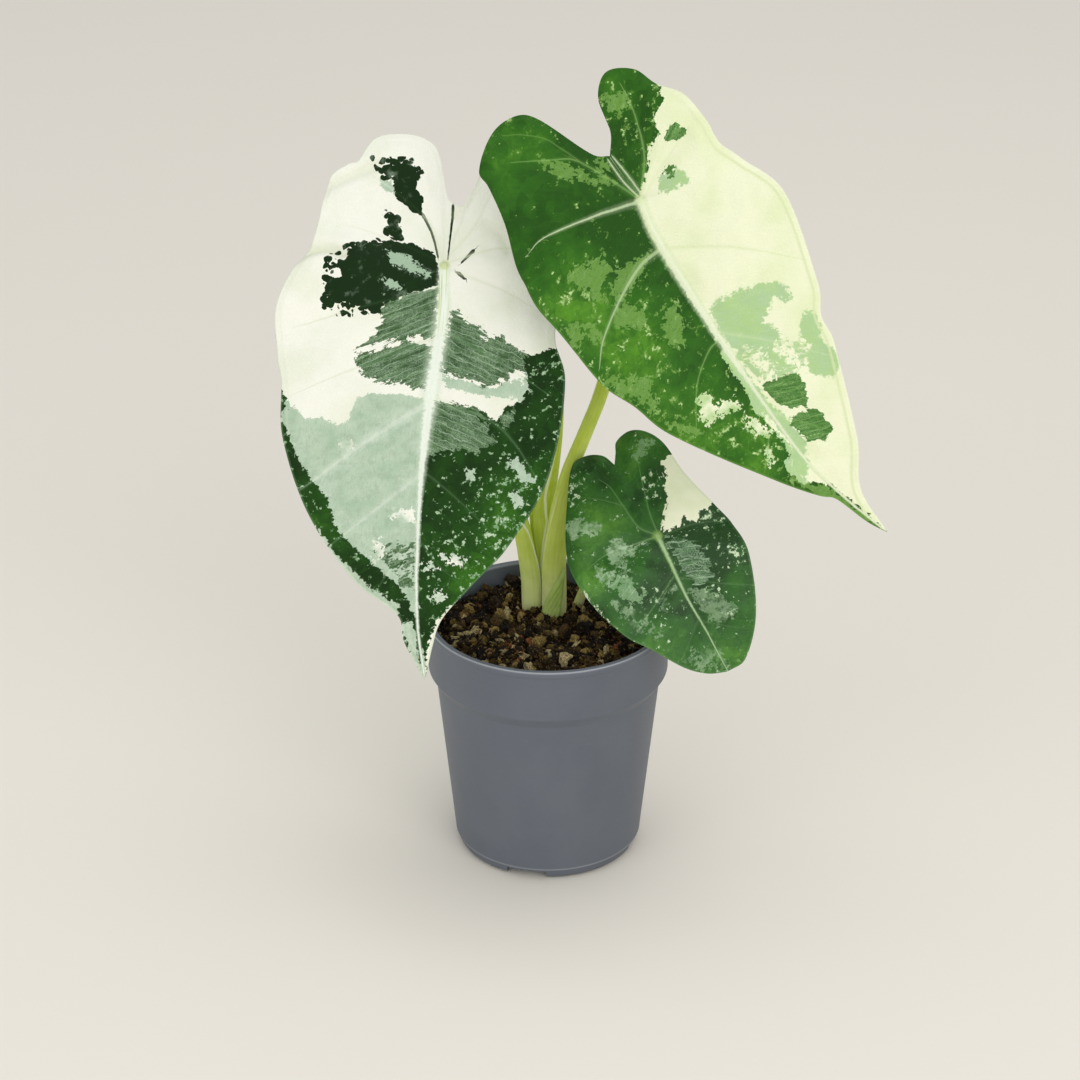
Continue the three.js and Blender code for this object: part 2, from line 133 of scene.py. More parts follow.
# Knots spaced by a power of the distance from row to row.
def knotsAlong(rows, axes, power):
    rows = np.asarray(rows, float)[:, axes]
    steps = np.linalg.norm(np.diff(rows, axis=0), axis=1) ** power
    return np.concatenate([[0], np.cumsum(steps)])


def smoothPath(rows, count):
    knots = knotsAlong(rows, list(range(len(rows[0]))), 0.5)
    return spline(knots, rows, np.linspace(0, knots[-1], count))


# Smooth random values in the plane, about -1 to 1: a sum of sine waves of many directions and lengths
# near the given size, over the square root of their number.
def ripples(points, size, seed, waves=24):
    random = np.random.default_rng(seed)
    total = np.zeros(len(points))
    for _ in range(waves):
        angle = random.uniform(0, 2 * np.pi)
        reach = size * random.uniform(0.6, 1.7)
        phase = random.uniform(0, 2 * np.pi)
        across = points[:, 0] * np.cos(angle) + points[:, 1] * np.sin(angle)
        total += np.sin(2 * np.pi * across / reach + phase)
    return total / np.sqrt(waves)


# Marks on a flat blade.

# Distance in mm from each point to the nearest side of an outline, positive inside it.
def insideDistance(points, outline):
    corners = np.asarray(outline, float)
    nearest = np.full(len(points), np.inf)
    inside = np.zeros(len(points), bool)
    for start, end in zip(corners, np.roll(corners, -1, axis=0)):
        edge = end - start
        away = points - start
        along = np.clip(away @ edge / (edge @ edge), 0, 1)
        nearest = np.minimum(nearest, np.hypot(*(away - along[:, None] * edge).T))
        crosses = (start[1] > points[:, 1]) != (end[1] > points[:, 1])
        level = start[0] + edge[0] * (points[:, 1] - start[1]) / (edge[1] if edge[1] else 1)
        inside ^= crosses & (points[:, 0] < level)
    return np.where(inside, nearest, -nearest)


# The union of outlines. A sparse one only just counts as inside, so that its edge breaks up all over.
def patchField(points, outlines, sparse):
    field = np.full(len(points), -float(farAway))
    for outline in outlines:
        field = np.maximum(field, insideDistance(points, outline))
    for outline in sparse:
        field = np.maximum(field, np.minimum(insideDistance(points, outline), 0.05))
    return np.clip(field, -farAway, farAway)


# The nearest stroke to each point: the signed distance in half widths, the distance in mm, and the
# strength, which is 0 away from the stroke because the sign changes there.
def strokeFields(points, strokes):
    field = np.full(len(points), float(farAway))
    nearest = np.full(len(points), float(farAway))
    power = np.zeros(len(points))
    for rows, startWidth, endWidth, strength in strokes:
        path = smoothPath(rows, 8 * len(rows))
        widths = np.linspace(startWidth, endWidth, len(path))
        for k in range(len(path) - 1):
            edge = path[k + 1] - path[k]
            away = points - path[k]
            along = np.clip(away @ edge / (edge @ edge), 0, 1)
            gap = np.hypot(*(away - along[:, None] * edge).T)
            side = np.where(edge[0] * away[:, 1] < edge[1] * away[:, 0], -1, 1)
            share = gap / (widths[k] + (widths[k + 1] - widths[k]) * along)
            closer = share < np.abs(field)
            field = np.where(closer, share * side, field)
            power = np.where(closer, strength, power)
            nearest = np.minimum(nearest, gap)
    return field, nearest, np.where(np.abs(field) < strokeReach, power, 0)


# Soft round spots, each (u, v, radius, strength): strength times exp(-(distance / radius) squared).
def spotField(points, spots):
    total = np.zeros(len(points))
    for u, v, radius, strength in spots:
        total += strength * np.exp(-((points[:, 0] - u) ** 2 + (points[:, 1] - v) ** 2) / radius**2)
    return total


# The three blades.

# A blade's flat point is (u, v): u across from the midrib, v along it from the petiole. Each margin
# runs from the notch between the back lobes, round its lobe, to the tip. A midrib is points and half
# widths. A vein, stroke or fold is (points, half width at its start and at its end, strength). The
# grid is rays round a lobe, rays along the midrib, and stops on a ray.
leftLeaf = {
    "attach": (-24.5, 9, 150.8), "heading": -92, "droop": 46, "roll": 7,
    "arch": 0.0052, "fold": 0.2, "curl": 0.003, "wave": 0.7, "waveLength": 31,
    "quilt": 0.5, "grid": (110, 120, 80),
    "sway": [(0, 0), (15, -0.5), (30, -2.5), (50, -5), (70, -6.5), (85, -7), (98, -6)],
    "margins": [
        [(1.5, -16), (0, -18), (-3, -30.5), (-6.5, -34), (-12, -35), (-18, -33.5), (-21.5, -27),
         (-24, -26), (-28.5, -22), (-31.5, -6.5), (-34, -2.5), (-39.5, 10), (-38, 21), (-35.5, 28.5),
         (-33.5, 41), (-26.5, 57.5), (-14.5, 74.5), (-4.5, 83), (-3.5, 89.5), (0, 98.5)],
        [(1.5, -16), (4, -16), (10, -28), (13.5, -29), (21.5, -21), (28, 3), (28, 19), (32, 30),
         (30.5, 52), (22, 67), (13.5, 76), (6, 84), (3, 90.5), (0, 98.5)],
    ],
    "midrib": ([(0, -0.5), (0, 6), (0, 14), (0, 28), (0, 42), (0, 56), (0, 97)],
               [0.9, 1.0, 1.4, 1.6, 1.0, 0.45, 0.2]),
    "veins": [
        ([(0, 5), (-6, 7), (-13.5, 9), (-21, 11), (-35, 15)], 0.45, 0.12, 0.75),
        ([(0, 33), (-7.5, 38), (-16, 44), (-28, 53)], 0.9, 0.2, 0.7),
        ([(0, 32), (15, 38), (22, 44), (28, 52)], 0.5, 0.15, 0.45),
        ([(-0.5, -1), (-4, -11), (-11, -18), (-18, -23)], 0.45, 0.12, 0.4),
        ([(0, -0.5), (10, -3), (16.5, -3), (26, 0)], 0.4, 0.1, 0.5),
        ([(0, 0.5), (14, 7), (27, 15)], 0.35, 0.1, 0.4),
        ([(0, -1), (7, -10), (13, -23)], 0.35, 0.1, 0.4),
        ([(0, -0.5), (-14, -7), (-29, -12)], 0.35, 0.1, 0.3),
        ([(0, 17), (-14, 23), (-34, 32)], 0.4, 0.1, 0.6),
        ([(0, 16), (13, 23), (29, 33)], 0.4, 0.1, 0.5),
        ([(0, 50), (-10, 58), (-20, 66)], 0.6, 0.2, 0.45),
        ([(0, 49), (9, 56), (20, 66)], 0.35, 0.1, 0.3),
        ([(0, 66), (-6, 72), (-10, 78)], 0.4, 0.1, 0.3),
        ([(0, 65), (6, 72), (12, 77)], 0.3, 0.1, 0.2),
    ],
    "cream": [
        [(-50, -50), (45, -50), (45, 21.5), (29.5, 22), (26, 22.5), (23, 23.5), (20, 22.5), (21.5, 26),
         (22.5, 30), (20.5, 33), (21.5, 34), (18, 35.5), (17.5, 38), (15.5, 38), (12.5, 35.5),
         (8, 34.5), (0, 33), (-7, 31.5), (-14, 31.5), (-17, 32.5), (-18, 37.5), (-20.5, 39),
         (-24.5, 37), (-28.5, 37), (-31, 35), (-36, 29), (-50, 27)],
        [(0, 99), (2, 90), (5, 84), (11, 79), (12, 90), (2, 99)],
    ],
    "sage": [
        [(-34, 34), (-30.5, 35), (-28.5, 37), (-24.5, 37), (-20.5, 39), (-18, 37.5), (-17, 32.5),
         (-14, 31.5), (-7, 31.5), (0, 33), (0.3, 84), (-4, 76.5), (-9.5, 71), (-15, 67), (-19.5, 61),
         (-21.2, 55.5), (-25.3, 51.5), (-27.6, 48), (-30.3, 44.5), (-32.3, 40.5), (-34, 36.5)],
        [(2, 27), (5, 27.5), (9.5, 29), (14, 30.5), (18, 29.5), (21.5, 28.5), (22.5, 32), (20, 33.3),
         (11.5, 32), (4, 30)],
        [(-16, -22.5), (-14.5, -22.5), (-13, -20.5), (-13, -18), (-14.5, -19), (-16, -20.5)],
        [(20.5, 47.5), (22.5, 46.5), (25.5, 50), (28, 52), (27, 53.5), (24, 52)],
        [(10.5, 48.5), (13, 49.5), (13, 52), (11, 52)],
        [(22, 55.5), (23.5, 54.5), (25, 57.5), (23.5, 58.5)],
        [(-4, 85), (-1, 84), (-0.5, 97), (-3, 91)],
        [(-24, 61.5), (-22.8, 62), (-19.2, 67.6), (-14.2, 73), (-9.6, 77), (-4.3, 80.6), (-4.5, 86),
         (-9, 84), (-16, 76)],
    ],
    "net": [
        [(-1, 5), (-6, 6.8), (-13.5, 9), (-14.5, 12), (-13, 13.5), (-15.5, 15), (-14.5, 17), (-19, 20),
         (-14, 19), (-8.5, 18), (-4, 17.5), (-1, 17.5)],
        [(-19.5, 22), (-16, 21), (-10, 19.5), (-5, 19), (-1, 20), (-1, 30), (-5, 30), (-7.5, 28.5),
         (-11, 28.5), (-15, 27), (-18.5, 25)],
        [(2, 10.5), (5, 13), (6.5, 14.5), (9.5, 16), (12, 18.5), (15.5, 19.5), (18.5, 21.5), (22, 23),
         (22, 26.5), (19.5, 27), (17, 29), (13, 30), (8.5, 28), (4.5, 27), (1, 26)],
        [(0.5, 33), (6, 34), (11, 35.5), (14.5, 38.5), (17, 44), (12, 45.5), (7.5, 44.5), (1, 46)],
        [(17.5, 37.5), (21, 35.5), (21.5, 38), (18.5, 40.5)],
    ],
    "netSparse": [
        [(-9.5, 67.5), (-4, 66), (0, 66.5), (0, 77), (-2.5, 77), (-5, 72.5)],
    ],
    "deep": [
        [(-13, -26), (-11, -26.5), (-7.5, -25.5), (-7, -23), (-7.5, -20), (-6, -17.5), (-6, -13.5),
         (-8, -14), (-10.5, -16), (-12.5, -17.5), (-13, -20.5), (-12, -22.5), (-15, -23), (-16.5, -24.5)],
        [(-14.5, -14), (-11.5, -13), (-10.5, -9), (-10, -6), (-12, -6.5), (-14.5, -8), (-14, -11.5)],
        [(-1.5, 0.5), (-2, -2.5), (-4.5, -4), (-6.5, -5), (-11.5, -6), (-16.5, -6.5), (-21, -5),
         (-23.5, -4.5), (-23, -1.5), (-25.5, -1), (-26, 1), (-24.5, 3), (-27.5, 5), (-27, 7.5),
         (-25.5, 10.5), (-22, 9.5), (-19.5, 10.5), (-16.5, 12), (-14.5, 12), (-13.5, 9.3), (-9.5, 7.8),
         (-4.5, 6), (-1, 5)],
    ],
    "deepSparse": [
        [(-27.5, -3), (-22, -5), (-21, 12), (-28, 10)],
        [(-18, -27), (-9, -28.5), (-6, -24), (-15, -22)],
    ],
    "strokes": [
        ([(1.4, -15.5), (1.2, -8), (0.8, -1.5)], 0.36, 0.18, 1),
        ([(-5.8, -13.5), (-4.5, -11), (-3, -7.5), (-1.6, -2)], 0.42, 0.25, 1),
        ([(6.8, -3.2), (5.4, -1.8), (4.2, -0.5)], 0.5, 0.28, 1),
        ([(3.6, 2.2), (5, 3.6)], 0.5, 0.3, 1),
    ],
    "folds": [
        ([(-17, -26), (-22.5, -23), (-27.5, -21), (-32, -18)], 1, 1, 0.5),
        ([(-24, -3), (-28, -4.5), (-32, -4), (-36, -2)], 1, 1, 0.8),
        ([(2.5, -13), (5.5, -18), (7.5, -22)], 1, 1, 0.3),
        ([(9.5, -10), (13, -7), (15.5, -2.5)], 1, 1, 0.3),
    ],
    "bits": [
        [(-14, -3.5), (-9.5, -2.5), (-3.5, 2), (-3.5, 3), (-9, 1.3), (-13, -0.5)],
        [(-14.5, 4.2), (-12, 4.2), (-10, 5.4), (-12, 6)],
        [(-19.5, 42.5), (-17.5, 42), (-16.5, 43.5), (-18, 44.5)],
        [(-7, 60), (-4.5, 58), (-1, 58.5), (-0.5, 62), (-3, 60.5)],
        [(-10.5, 65.5), (-8.5, 64.5), (-7.5, 67), (-8, 69.5), (-9.5, 70)],
        [(5.5, 69), (8, 69), (11.5, 70.5), (11, 72), (8, 71)],
        [(0, 70.5), (3, 71), (5.5, 72), (3, 72)],
        [(3.5, 78), (6, 77), (7.5, 79), (5.5, 80)],
    ],
    "flecks": [(27, 27, 5, 0.9), (22, 50, 6, 0.9), (22, 58, 7, 1), (17, 64, 7, 0.8), (11, 72, 7, 0.6),
               (6, 66, 5, 0.7), (4, 80, 6, 0.6), (-28, 52, 8, 0.3), (-12, 74, 9, 0.5), (28, 40, 7, 0.4),
               (10, 52, 6, 0.4)],
    "brightGreen": [(19, 62, 10, 0.8), (12, 76, 8, 0.7), (28, 52, 6, 0.5), (-22, 62, 9, 0.5)],
}
rightLeaf = {
    "attach": (21, -6, 173.2), "heading": -45, "droop": 36, "roll": 48,
    "arch": 0.0045, "fold": 0.2, "curl": 0.003, "wave": 0.7, "waveLength": 34,
    "quilt": 0.6, "grid": (110, 120, 80),
    "sway": [(0, 0), (8, -2.2), (25, -4), (45, -5.5), (70, -6.5), (82, -5), (96, -2)],
    "margins": [
        [(0.5, -13), (-2.5, -16), (-7.5, -31), (-11, -35), (-17.5, -35), (-25.5, -29), (-26, -24.5),
         (-28, -15.5), (-32.5, -1), (-30, 14), (-28, 29), (-24.5, 37.5), (-21.5, 47), (-9, 68.5),
         (-3.5, 79), (-1.5, 82), (-1, 90.5), (0, 95.5)],
        [(0.5, -13), (4, -17.5), (6.5, -26), (11.5, -29.5), (17, -25.5), (19, -19), (22.5, -12.5),
         (23, -4), (22.5, 1), (26, 7.5), (30.5, 20), (25.5, 41), (22, 47), (21, 53.5), (12.5, 73),
         (4, 83.5), (0, 95.5)],
    ],
    "midrib": ([(0, -0.5), (0, 6), (0, 14), (0, 28), (0, 42), (0, 52), (0, 95)],
               [1.0, 0.9, 0.9, 0.8, 0.7, 0.35, 0.2]),
    "veins": [
        ([(0, 0), (-3, -9), (-6.5, -17.5), (-11, -21), (-18.5, -26)], 0.42, 0.1, 0.55),
        ([(-4.5, -13), (-7.5, -22), (-9, -26), (-13, -30.5), (-16.5, -33)], 0.2, 0.1, 0.3),
        ([(0, 0.5), (-4, -1), (-9.5, -3), (-18.5, -5.5), (-24, -6.5), (-29, -5.5)], 0.5, 0.08, 1),
        ([(0, 12), (-6.5, 12.5), (-14.5, 16), (-22.5, 21), (-27, 26)], 0.55, 0.08, 0.85),
        ([(0, 37), (-3.5, 37.5), (-10, 42), (-16, 50)], 0.26, 0.08, 0.55),
        ([(1, -1), (6, -6.5), (9, -12), (11.5, -19), (12.5, -25)], 0.4, 0.1, 0.6),
        ([(0, 12), (11.5, 20.5), (18.5, 27), (26, 35)], 0.35, 0.1, 0.5),
        ([(1, 0), (9, -3), (21, -6)], 0.35, 0.1, 0.25),
        ([(0, 35), (9, 44), (20, 57)], 0.35, 0.1, 0.3),
        ([(0, 57), (6, 65), (12, 73)], 0.3, 0.1, 0.25),
        ([(0, 57), (-4, 62), (-9, 67)], 0.3, 0.1, 0.35),
        ([(0, -1), (-0.6, -6), (-0.4, -12.5)], 0.3, 0.18, 1),
        ([(1, -1), (1.1, -6), (0.9, -12.5)], 0.3, 0.18, 1),
    ],
    "cream": [
        [(60, -60), (19.5, -24), (19.5, -20), (19, -17), (18.5, -14), (14.5, -13.5), (12.5, -9),
         (9, -8), (5, -4), (0.5, -0.5), (0, 5), (-0.5, 20), (-0.5, 48), (-1, 53), (-2, 58.5),
         (-1, 66), (-1, 68), (-3.5, 69.5), (-3, 73.5), (-2, 76), (0, 78.5), (0.3, 83.5), (0.3, 90),
         (0, 96), (0, 110), (60, 110)],
    ],
    "sage": [
        [(-0.5, 40), (0.5, 42.5), (0.7, 48.5), (1.3, 56), (2.8, 62), (2.3, 67.5), (0, 71.5), (-2.5, 73.5),
         (-4.5, 71), (-1.2, 67.5), (-0.4, 65), (-0.8, 58.5), (-2, 53.5), (-1.6, 49), (-1.2, 44)],
        [(5, 1.5), (7, -1.5), (10, -1), (12.5, 2), (13, 4.5), (7.5, 3)],
        [(2, 30), (5, 30), (9.5, 31), (13, 32.5), (16, 33.5), (18.5, 35.5), (19.5, 40), (17.5, 40),
         (15.5, 37), (13.5, 38.5), (10.5, 40), (12.5, 44.5), (9, 46), (5, 43), (1, 40.5), (0.5, 36.5)],
        [(19, 44), (21.5, 45), (20.5, 48), (19, 51), (20.5, 56), (18, 59.5), (16, 59.5), (12.5, 55.5),
         (14.5, 51.5), (16.5, 50.5), (15.5, 47)],
    ],
    "sageSparse": [[(1, 40), (10.5, 44), (15.5, 50), (12.5, 53), (8.5, 54), (2.5, 49.5), (1.5, 45)]],
    "net": [
        [(14, -8.5), (17, -8), (18, -5.5), (17, -4.5), (14, -5.5), (12.5, -7)],
        [(2, 50.5), (6, 52), (10.5, 54), (10.5, 57), (8.5, 60.5), (7.5, 61), (4.5, 59), (2.5, 56.5)],
        [(2, 62), (5, 60.8), (9.5, 63), (9, 68.5), (6.5, 69.5), (3.5, 67.5)],
    ],
    "netSparse": [[(7.5, -2), (10, -2.5), (11, -0.5), (9.5, 1), (8, 0.5)]],
    "bits": [
        [(-11, 44.5), (-9.5, 45), (-9.5, 48), (-6, 48.5), (-4.5, 50.5), (-4.5, 52), (-8, 51.5),
         (-10.5, 50.5), (-13, 51), (-13.5, 48.5), (-12.5, 46.5)],
        [(-5.5, 55), (-4, 56.5), (-2.5, 59), (-3.5, 60.5), (-5, 60), (-5.5, 57.5), (-6.5, 56.5)],
        [(-5.5, 63.5), (-5, 65), (-7, 67.5), (-7.5, 67)],
    ],
    "pale": [
        [(-20, 4.5), (-17, 5.5), (-13, 6), (-12, 8), (-13.5, 10.5), (-16, 10.5), (-17, 13.5), (-19, 13),
         (-19, 9.5), (-21.5, 7), (-22.5, 5.5)],
        [(-11.5, 10), (-9, 11), (-3, 11.5), (-7, 14), (-11, 15), (-16.5, 16.5), (-14, 12.5)],
        [(-16, 17), (-13, 18.5), (-11.5, 22), (-13.5, 23.5), (-16.5, 22), (-18, 19)],
        [(-7, 23.5), (-4, 25), (-5, 29), (-8, 33), (-9.5, 30.5), (-9, 26.5)],
        [(-26.5, 28), (-23, 31.5), (-18.5, 34), (-19.5, 37.5), (-21, 41), (-23, 36), (-26, 33)],
        [(-28.5, 13.5), (-24.5, 15), (-25, 18), (-28.5, 18)],
        [(-23, 15.5), (-22, 19), (-23, 21.5), (-24.5, 19)],
        [(-12.5, -22.5), (-9, -18), (-6.5, -12), (-6, -9.5), (-8.5, -12.5), (-12, -17.5)],
        [(8.5, -25), (12, -22.5), (10.5, -20), (8, -19), (6.5, -21.5)],
        [(-2.5, -14), (-1.5, -12.5), (-2.5, -10), (-2.5, -7), (-4, -8), (-4, -11)],
        [(-20.5, 45), (-18, 46), (-15.5, 50.5), (-18.5, 49)],
        [(-5, 72), (-2.5, 76), (-0.3, 79), (-0.3, 90), (-1.2, 90), (-2.3, 83), (-4.5, 77)],
    ],
    "flecks": [(-23, 8, 6, 0.9), (-7, -27, 3, 1.2), (-2.5, -11, 3, 1), (-5, 56, 5, 1), (-14, -1, 3, 0.6),
               (9, -18, 6, 1), (7, -8, 5, 0.8), (-6, 24, 8, 0.5), (-12, 20, 6, 0.5), (-18, -17, 11, -1.1),
               (-15, 33, 8, 0.5), (-17, 47, 5, 1), (-22, 30, 8, 0.8), (-12, 55, 4, 1), (-7, 64, 4, 1),
               (-24, -4, 6, -0.6), (-6, 5, 5, -0.9), (-4, 18, 5, -0.5)],
    "brightGreen": [(-25, 8, 8, 0.6), (-20, 30, 11, 0.55), (-14, 50, 10, 0.6), (-15, -28, 8, 0.45),
              (-8, 64, 7, 0.6), (10, -27, 5, 0.5), (-6, 4, 7, -0.4), (-20, 20, 9, 0.35)],
}
smallLeaf = {
    "attach": (26.2, -10, 89), "heading": -51, "droop": 42, "roll": 42,
    "arch": 0.009, "fold": 0.2, "curl": 0.005, "wave": 0.35, "waveLength": 17,
    "quilt": 1.1, "grid": (80, 80, 60),
    "sway": [(0, 0), (17, -1), (36.5, -1)],
    "margins": [
        [(-1, -21), (-2.5, -24.5), (-6, -26.5), (-10, -26), (-15, -18.5), (-22, -5), (-21.5, 6),
         (-17.5, 17), (-13.5, 23), (-9, 30.5), (-5, 34.5), (-1, 36.5)],
        [(-1, -21), (0.5, -23.5), (2, -26), (6, -26.5), (9.5, -24), (12, -19), (13, -10), (15.5, 0),
         (17.5, 6.5), (18, 14.5), (12.5, 27.5), (4.5, 36), (-1, 36.5)],
    ],
    "midrib": ([(0, -0.5), (0, 3), (0, 8), (-0.2, 16), (0, 26), (-0.5, 35)],
               [0.55, 0.45, 0.34, 0.26, 0.2, 0.1]),
    "veins": [
        ([(0.3, -0.5), (1, -6), (3, -14), (5, -20.5)], 0.2, 0.06, 0.5),
        ([(-0.3, -0.5), (-3, -4), (-3.8, -10.5), (-4.5, -16.5), (-6, -19.5)], 0.26, 0.06, 0.5),
        ([(-3.6, -10.5), (-7, -14), (-11.5, -17.5)], 0.18, 0.06, 0.35),
        ([(-1, 0), (-6.5, -1), (-12.5, -2), (-19, -1)], 0.26, 0.06, 0.65),
        ([(0, 0.5), (7, 1.5), (10.5, 2.5), (16, 5)], 0.22, 0.1, 0.2),
        ([(0, 10), (-4.5, 12.5), (-9.5, 15), (-15, 18)], 0.2, 0.1, 0.4),
        ([(0, 11), (8, 17), (16, 22)], 0.22, 0.1, 0.2),
        ([(0, 23), (5, 27), (9, 30)], 0.2, 0.1, 0.15),
        ([(0, 22), (-5, 26), (-9, 29)], 0.2, 0.1, 0.15),
    ],
    "cream": [[(9.5, -15), (11.5, -16), (20, -12), (18, -1), (15, 0.5), (11.5, 0.5), (9.5, 2), (7.5, -0.5),
               (5, 0.5), (1.5, 0), (4, -3.5), (6.5, -6.5), (7.5, -10), (9, -11.5)]],
    "sage": [
        [(-17, -13.5), (-13, -12), (-11, -9.5), (-11.5, -7.5), (-14, -8), (-16.5, -9),
         (-18.5, -8.5), (-18.5, -11.5)],
        [(-12, -3.5), (-9.5, -4.5), (-7.5, -3.5), (-8, -1.5), (-6, -0.5), (-3, 0), (-6.5, 0.8),
         (-9.5, 0.5), (-9, 2), (-11.5, 2.5), (-13, 1), (-13, -1.5)],
        [(1, 14), (3.5, 16), (5.5, 17.5), (7.5, 20), (9, 23.5), (7, 26), (4, 26), (2, 23.5)],
    ],
    "sageSparse": [
        [(-16.5, -1), (-15, 1.5), (-12.5, 2.8), (-8, 3), (-8.5, 4), (-12.5, 4.2), (-15.5, 4),
         (-17, 2.5), (-18, 1)],
        [(-6.5, 14), (-2.5, 12.5), (-0.5, 12.5), (-2, 14.5), (-4.5, 16), (-6.5, 17.5)],
        [(-16.5, 8), (-11.5, 13.5), (-10.5, 17), (-10, 21), (-13.5, 18.5), (-16, 14)],
        [(-8.5, 28), (-5, 28.5), (-1, 29), (0, 31.5), (0.5, 35.5), (-1.5, 36), (-6, 33)],
    ],
    "net": [[(1.5, 1.5), (5, 3), (8, 7.5), (9, 12.5), (7, 15), (3.5, 15), (1.5, 11.5)]],
    "bits": [[(-22.4, 3), (-21.8, 7), (-20.6, 12), (-18.8, 16.5), (-18.4, 16.3), (-20.1, 11.8),
              (-21.3, 6.8), (-21.9, 3)]],
    "pale": [[(-15, 4), (-11, 6), (-9, 11), (-13, 12)], [(4, -22), (8, -23), (9, -20), (5, -19)]],
    "flecks": [(-10, -22, 2.5, 1.6), (-14, -19, 3, 1.6), (-19, -12, 3, 1.3), (4, -13, 2.5, 1.7),
               (3.5, -9, 2.5, 1.7), (4, 5, 3, 1), (15, 11.5, 3, 1.3), (6, 18.5, 2.5, 1.4),
               (7.5, 24.5, 2, 1.4), (11, 1, 3, 1.7), (15, 3, 3, 1.5), (14, 14, 4, 1.1),
               (-10, 8, 6, 0.6), (-6, 18, 6, 0.5)],
    "brightGreen": [(-11, -9, 8, 1.1), (-8, 27, 8, 0.5), (-20, 3, 6, 0.9), (4, 35, 7, 0.9), (4, -22, 7, 0.9),
              (-15, 20, 5, 0.5), (14, 20, 6, 0.3), (13, 7, 7, -0.9)],
}

waveReach = 20

# Millimetres. A cockle is the height, the size and the seed of ripples.
bladeRelief = {
    "ribHeight": 0.22, "grooveDepth": 0.12, "grooveReach": 1.1, "quiltReach": 4, "flatRim": 4,
    "creaseDepth": 2.2, "creaseReach": 1.5, "cockles": [(0.12, 7, 3), (0.3, 24, 8)],
    "rimThickness": 0.26, "thickening": 0.3, "thickReach": 2.5, "veinThickness": 0.35, "veinReach": 0.5,
}


# Unit vectors along the blade, across it, and out of its upper face.
def leafAxes(leaf):
    heading, droop, roll = (math.radians(leaf[key]) for key in ("heading", "droop", "roll"))
    ahead = np.array([math.cos(heading), math.sin(heading), 0])
    upward = np.array([0, 0, 1])
    along = ahead * math.cos(droop) - upward * math.sin(droop)
    level = ahead * math.sin(droop) + upward * math.cos(droop)
    normal = level * math.cos(roll) + np.cross(along, level) * math.sin(roll)
    return along, np.cross(normal, along), normal


# The upper face before its fine relief, at u across and v along. It bends back on an arc along v. It
# rises beside the midrib in a rounded fold, sinks again with the square of u, and waves in a sine
# along v that grows with the square of u, the two halves out of step. The midrib sways sideways.
def leafSurface(leaf, u, v):
    along, across, normal = leafAxes(leaf)
    swayRows = np.array(leaf["sway"], float)
    sway = spline(swayRows[:, 0], swayRows[:, 1:], v)[:, 0]
    turn = leaf["arch"] * v
    valley = leaf["fold"] * (np.hypot(u, ribHalfWidth) - ribHalfWidth) - leaf["curl"] * u**2
    phase = 2 * np.pi * v / leaf["waveLength"] + np.where(u < 0, 1, 3)
    height = valley + leaf["wave"] * np.minimum((u / waveReach) ** 2, 1) * np.sin(phase)
    return (
        np.array(leaf["attach"])
        + np.outer(np.sin(turn) / leaf["arch"] + height * np.sin(turn), along)
        + np.outer((np.cos(turn) - 1) / leaf["arch"] + height * np.cos(turn), normal)
        + np.outer(u + sway, across)
    )


def surfaceNormal(leaf, u, v, step=0.05):
    forward = leafSurface(leaf, u, v + step) - leafSurface(leaf, u, v - step)
    sideways = leafSurface(leaf, u + step, v) - leafSurface(leaf, u - step, v)
    return unit(np.cross(forward, sideways))


# Where each ray leaves the midrib and where it meets the margin: round the lobe the rays fan out
# from the petiole, and further on they leave the midrib one after another. There the end of a ray
# is found by halving the stretch of margin from knot number searchFrom to the tip again and again.
def marginRays(margin, lobeSteps, ribSteps, searchFrom=5, halvings=40):
    knots = knotsAlong(margin, [0, 1], 0.5)
    length = margin[-1][1]

    def ribStart(at):
        ends = spline(knots, margin, at)
        return ends[:, 1] - veinLean * np.abs(ends[:, 0])

    starts = length * np.arange(ribSteps) / ribSteps
    low = np.full(ribSteps, knots[searchFrom])
    high = np.full(ribSteps, knots[-1])
    for _ in range(halvings):
        middle = (low + high) / 2
        short = ribStart(middle) < starts
        low = np.where(short, middle, low)
        high = np.where(short, high, middle)
    lobe = spline(knots, margin, high[0] * np.arange(lobeSteps) / lobeSteps)
    ends = np.concatenate([lobe, spline(knots, margin, high), [margin[-1]]])
    origins = np.zeros_like(ends)
    origins[lobeSteps:, 1] = np.append(starts, length)
    return origins, ends


# Stops along a ray, closest together at the midrib and a little closer at the margin.
def rayStops(count):
    even = np.linspace(0, 1, count) ** 1.4
    return 1 - (1 - even) ** 1.25


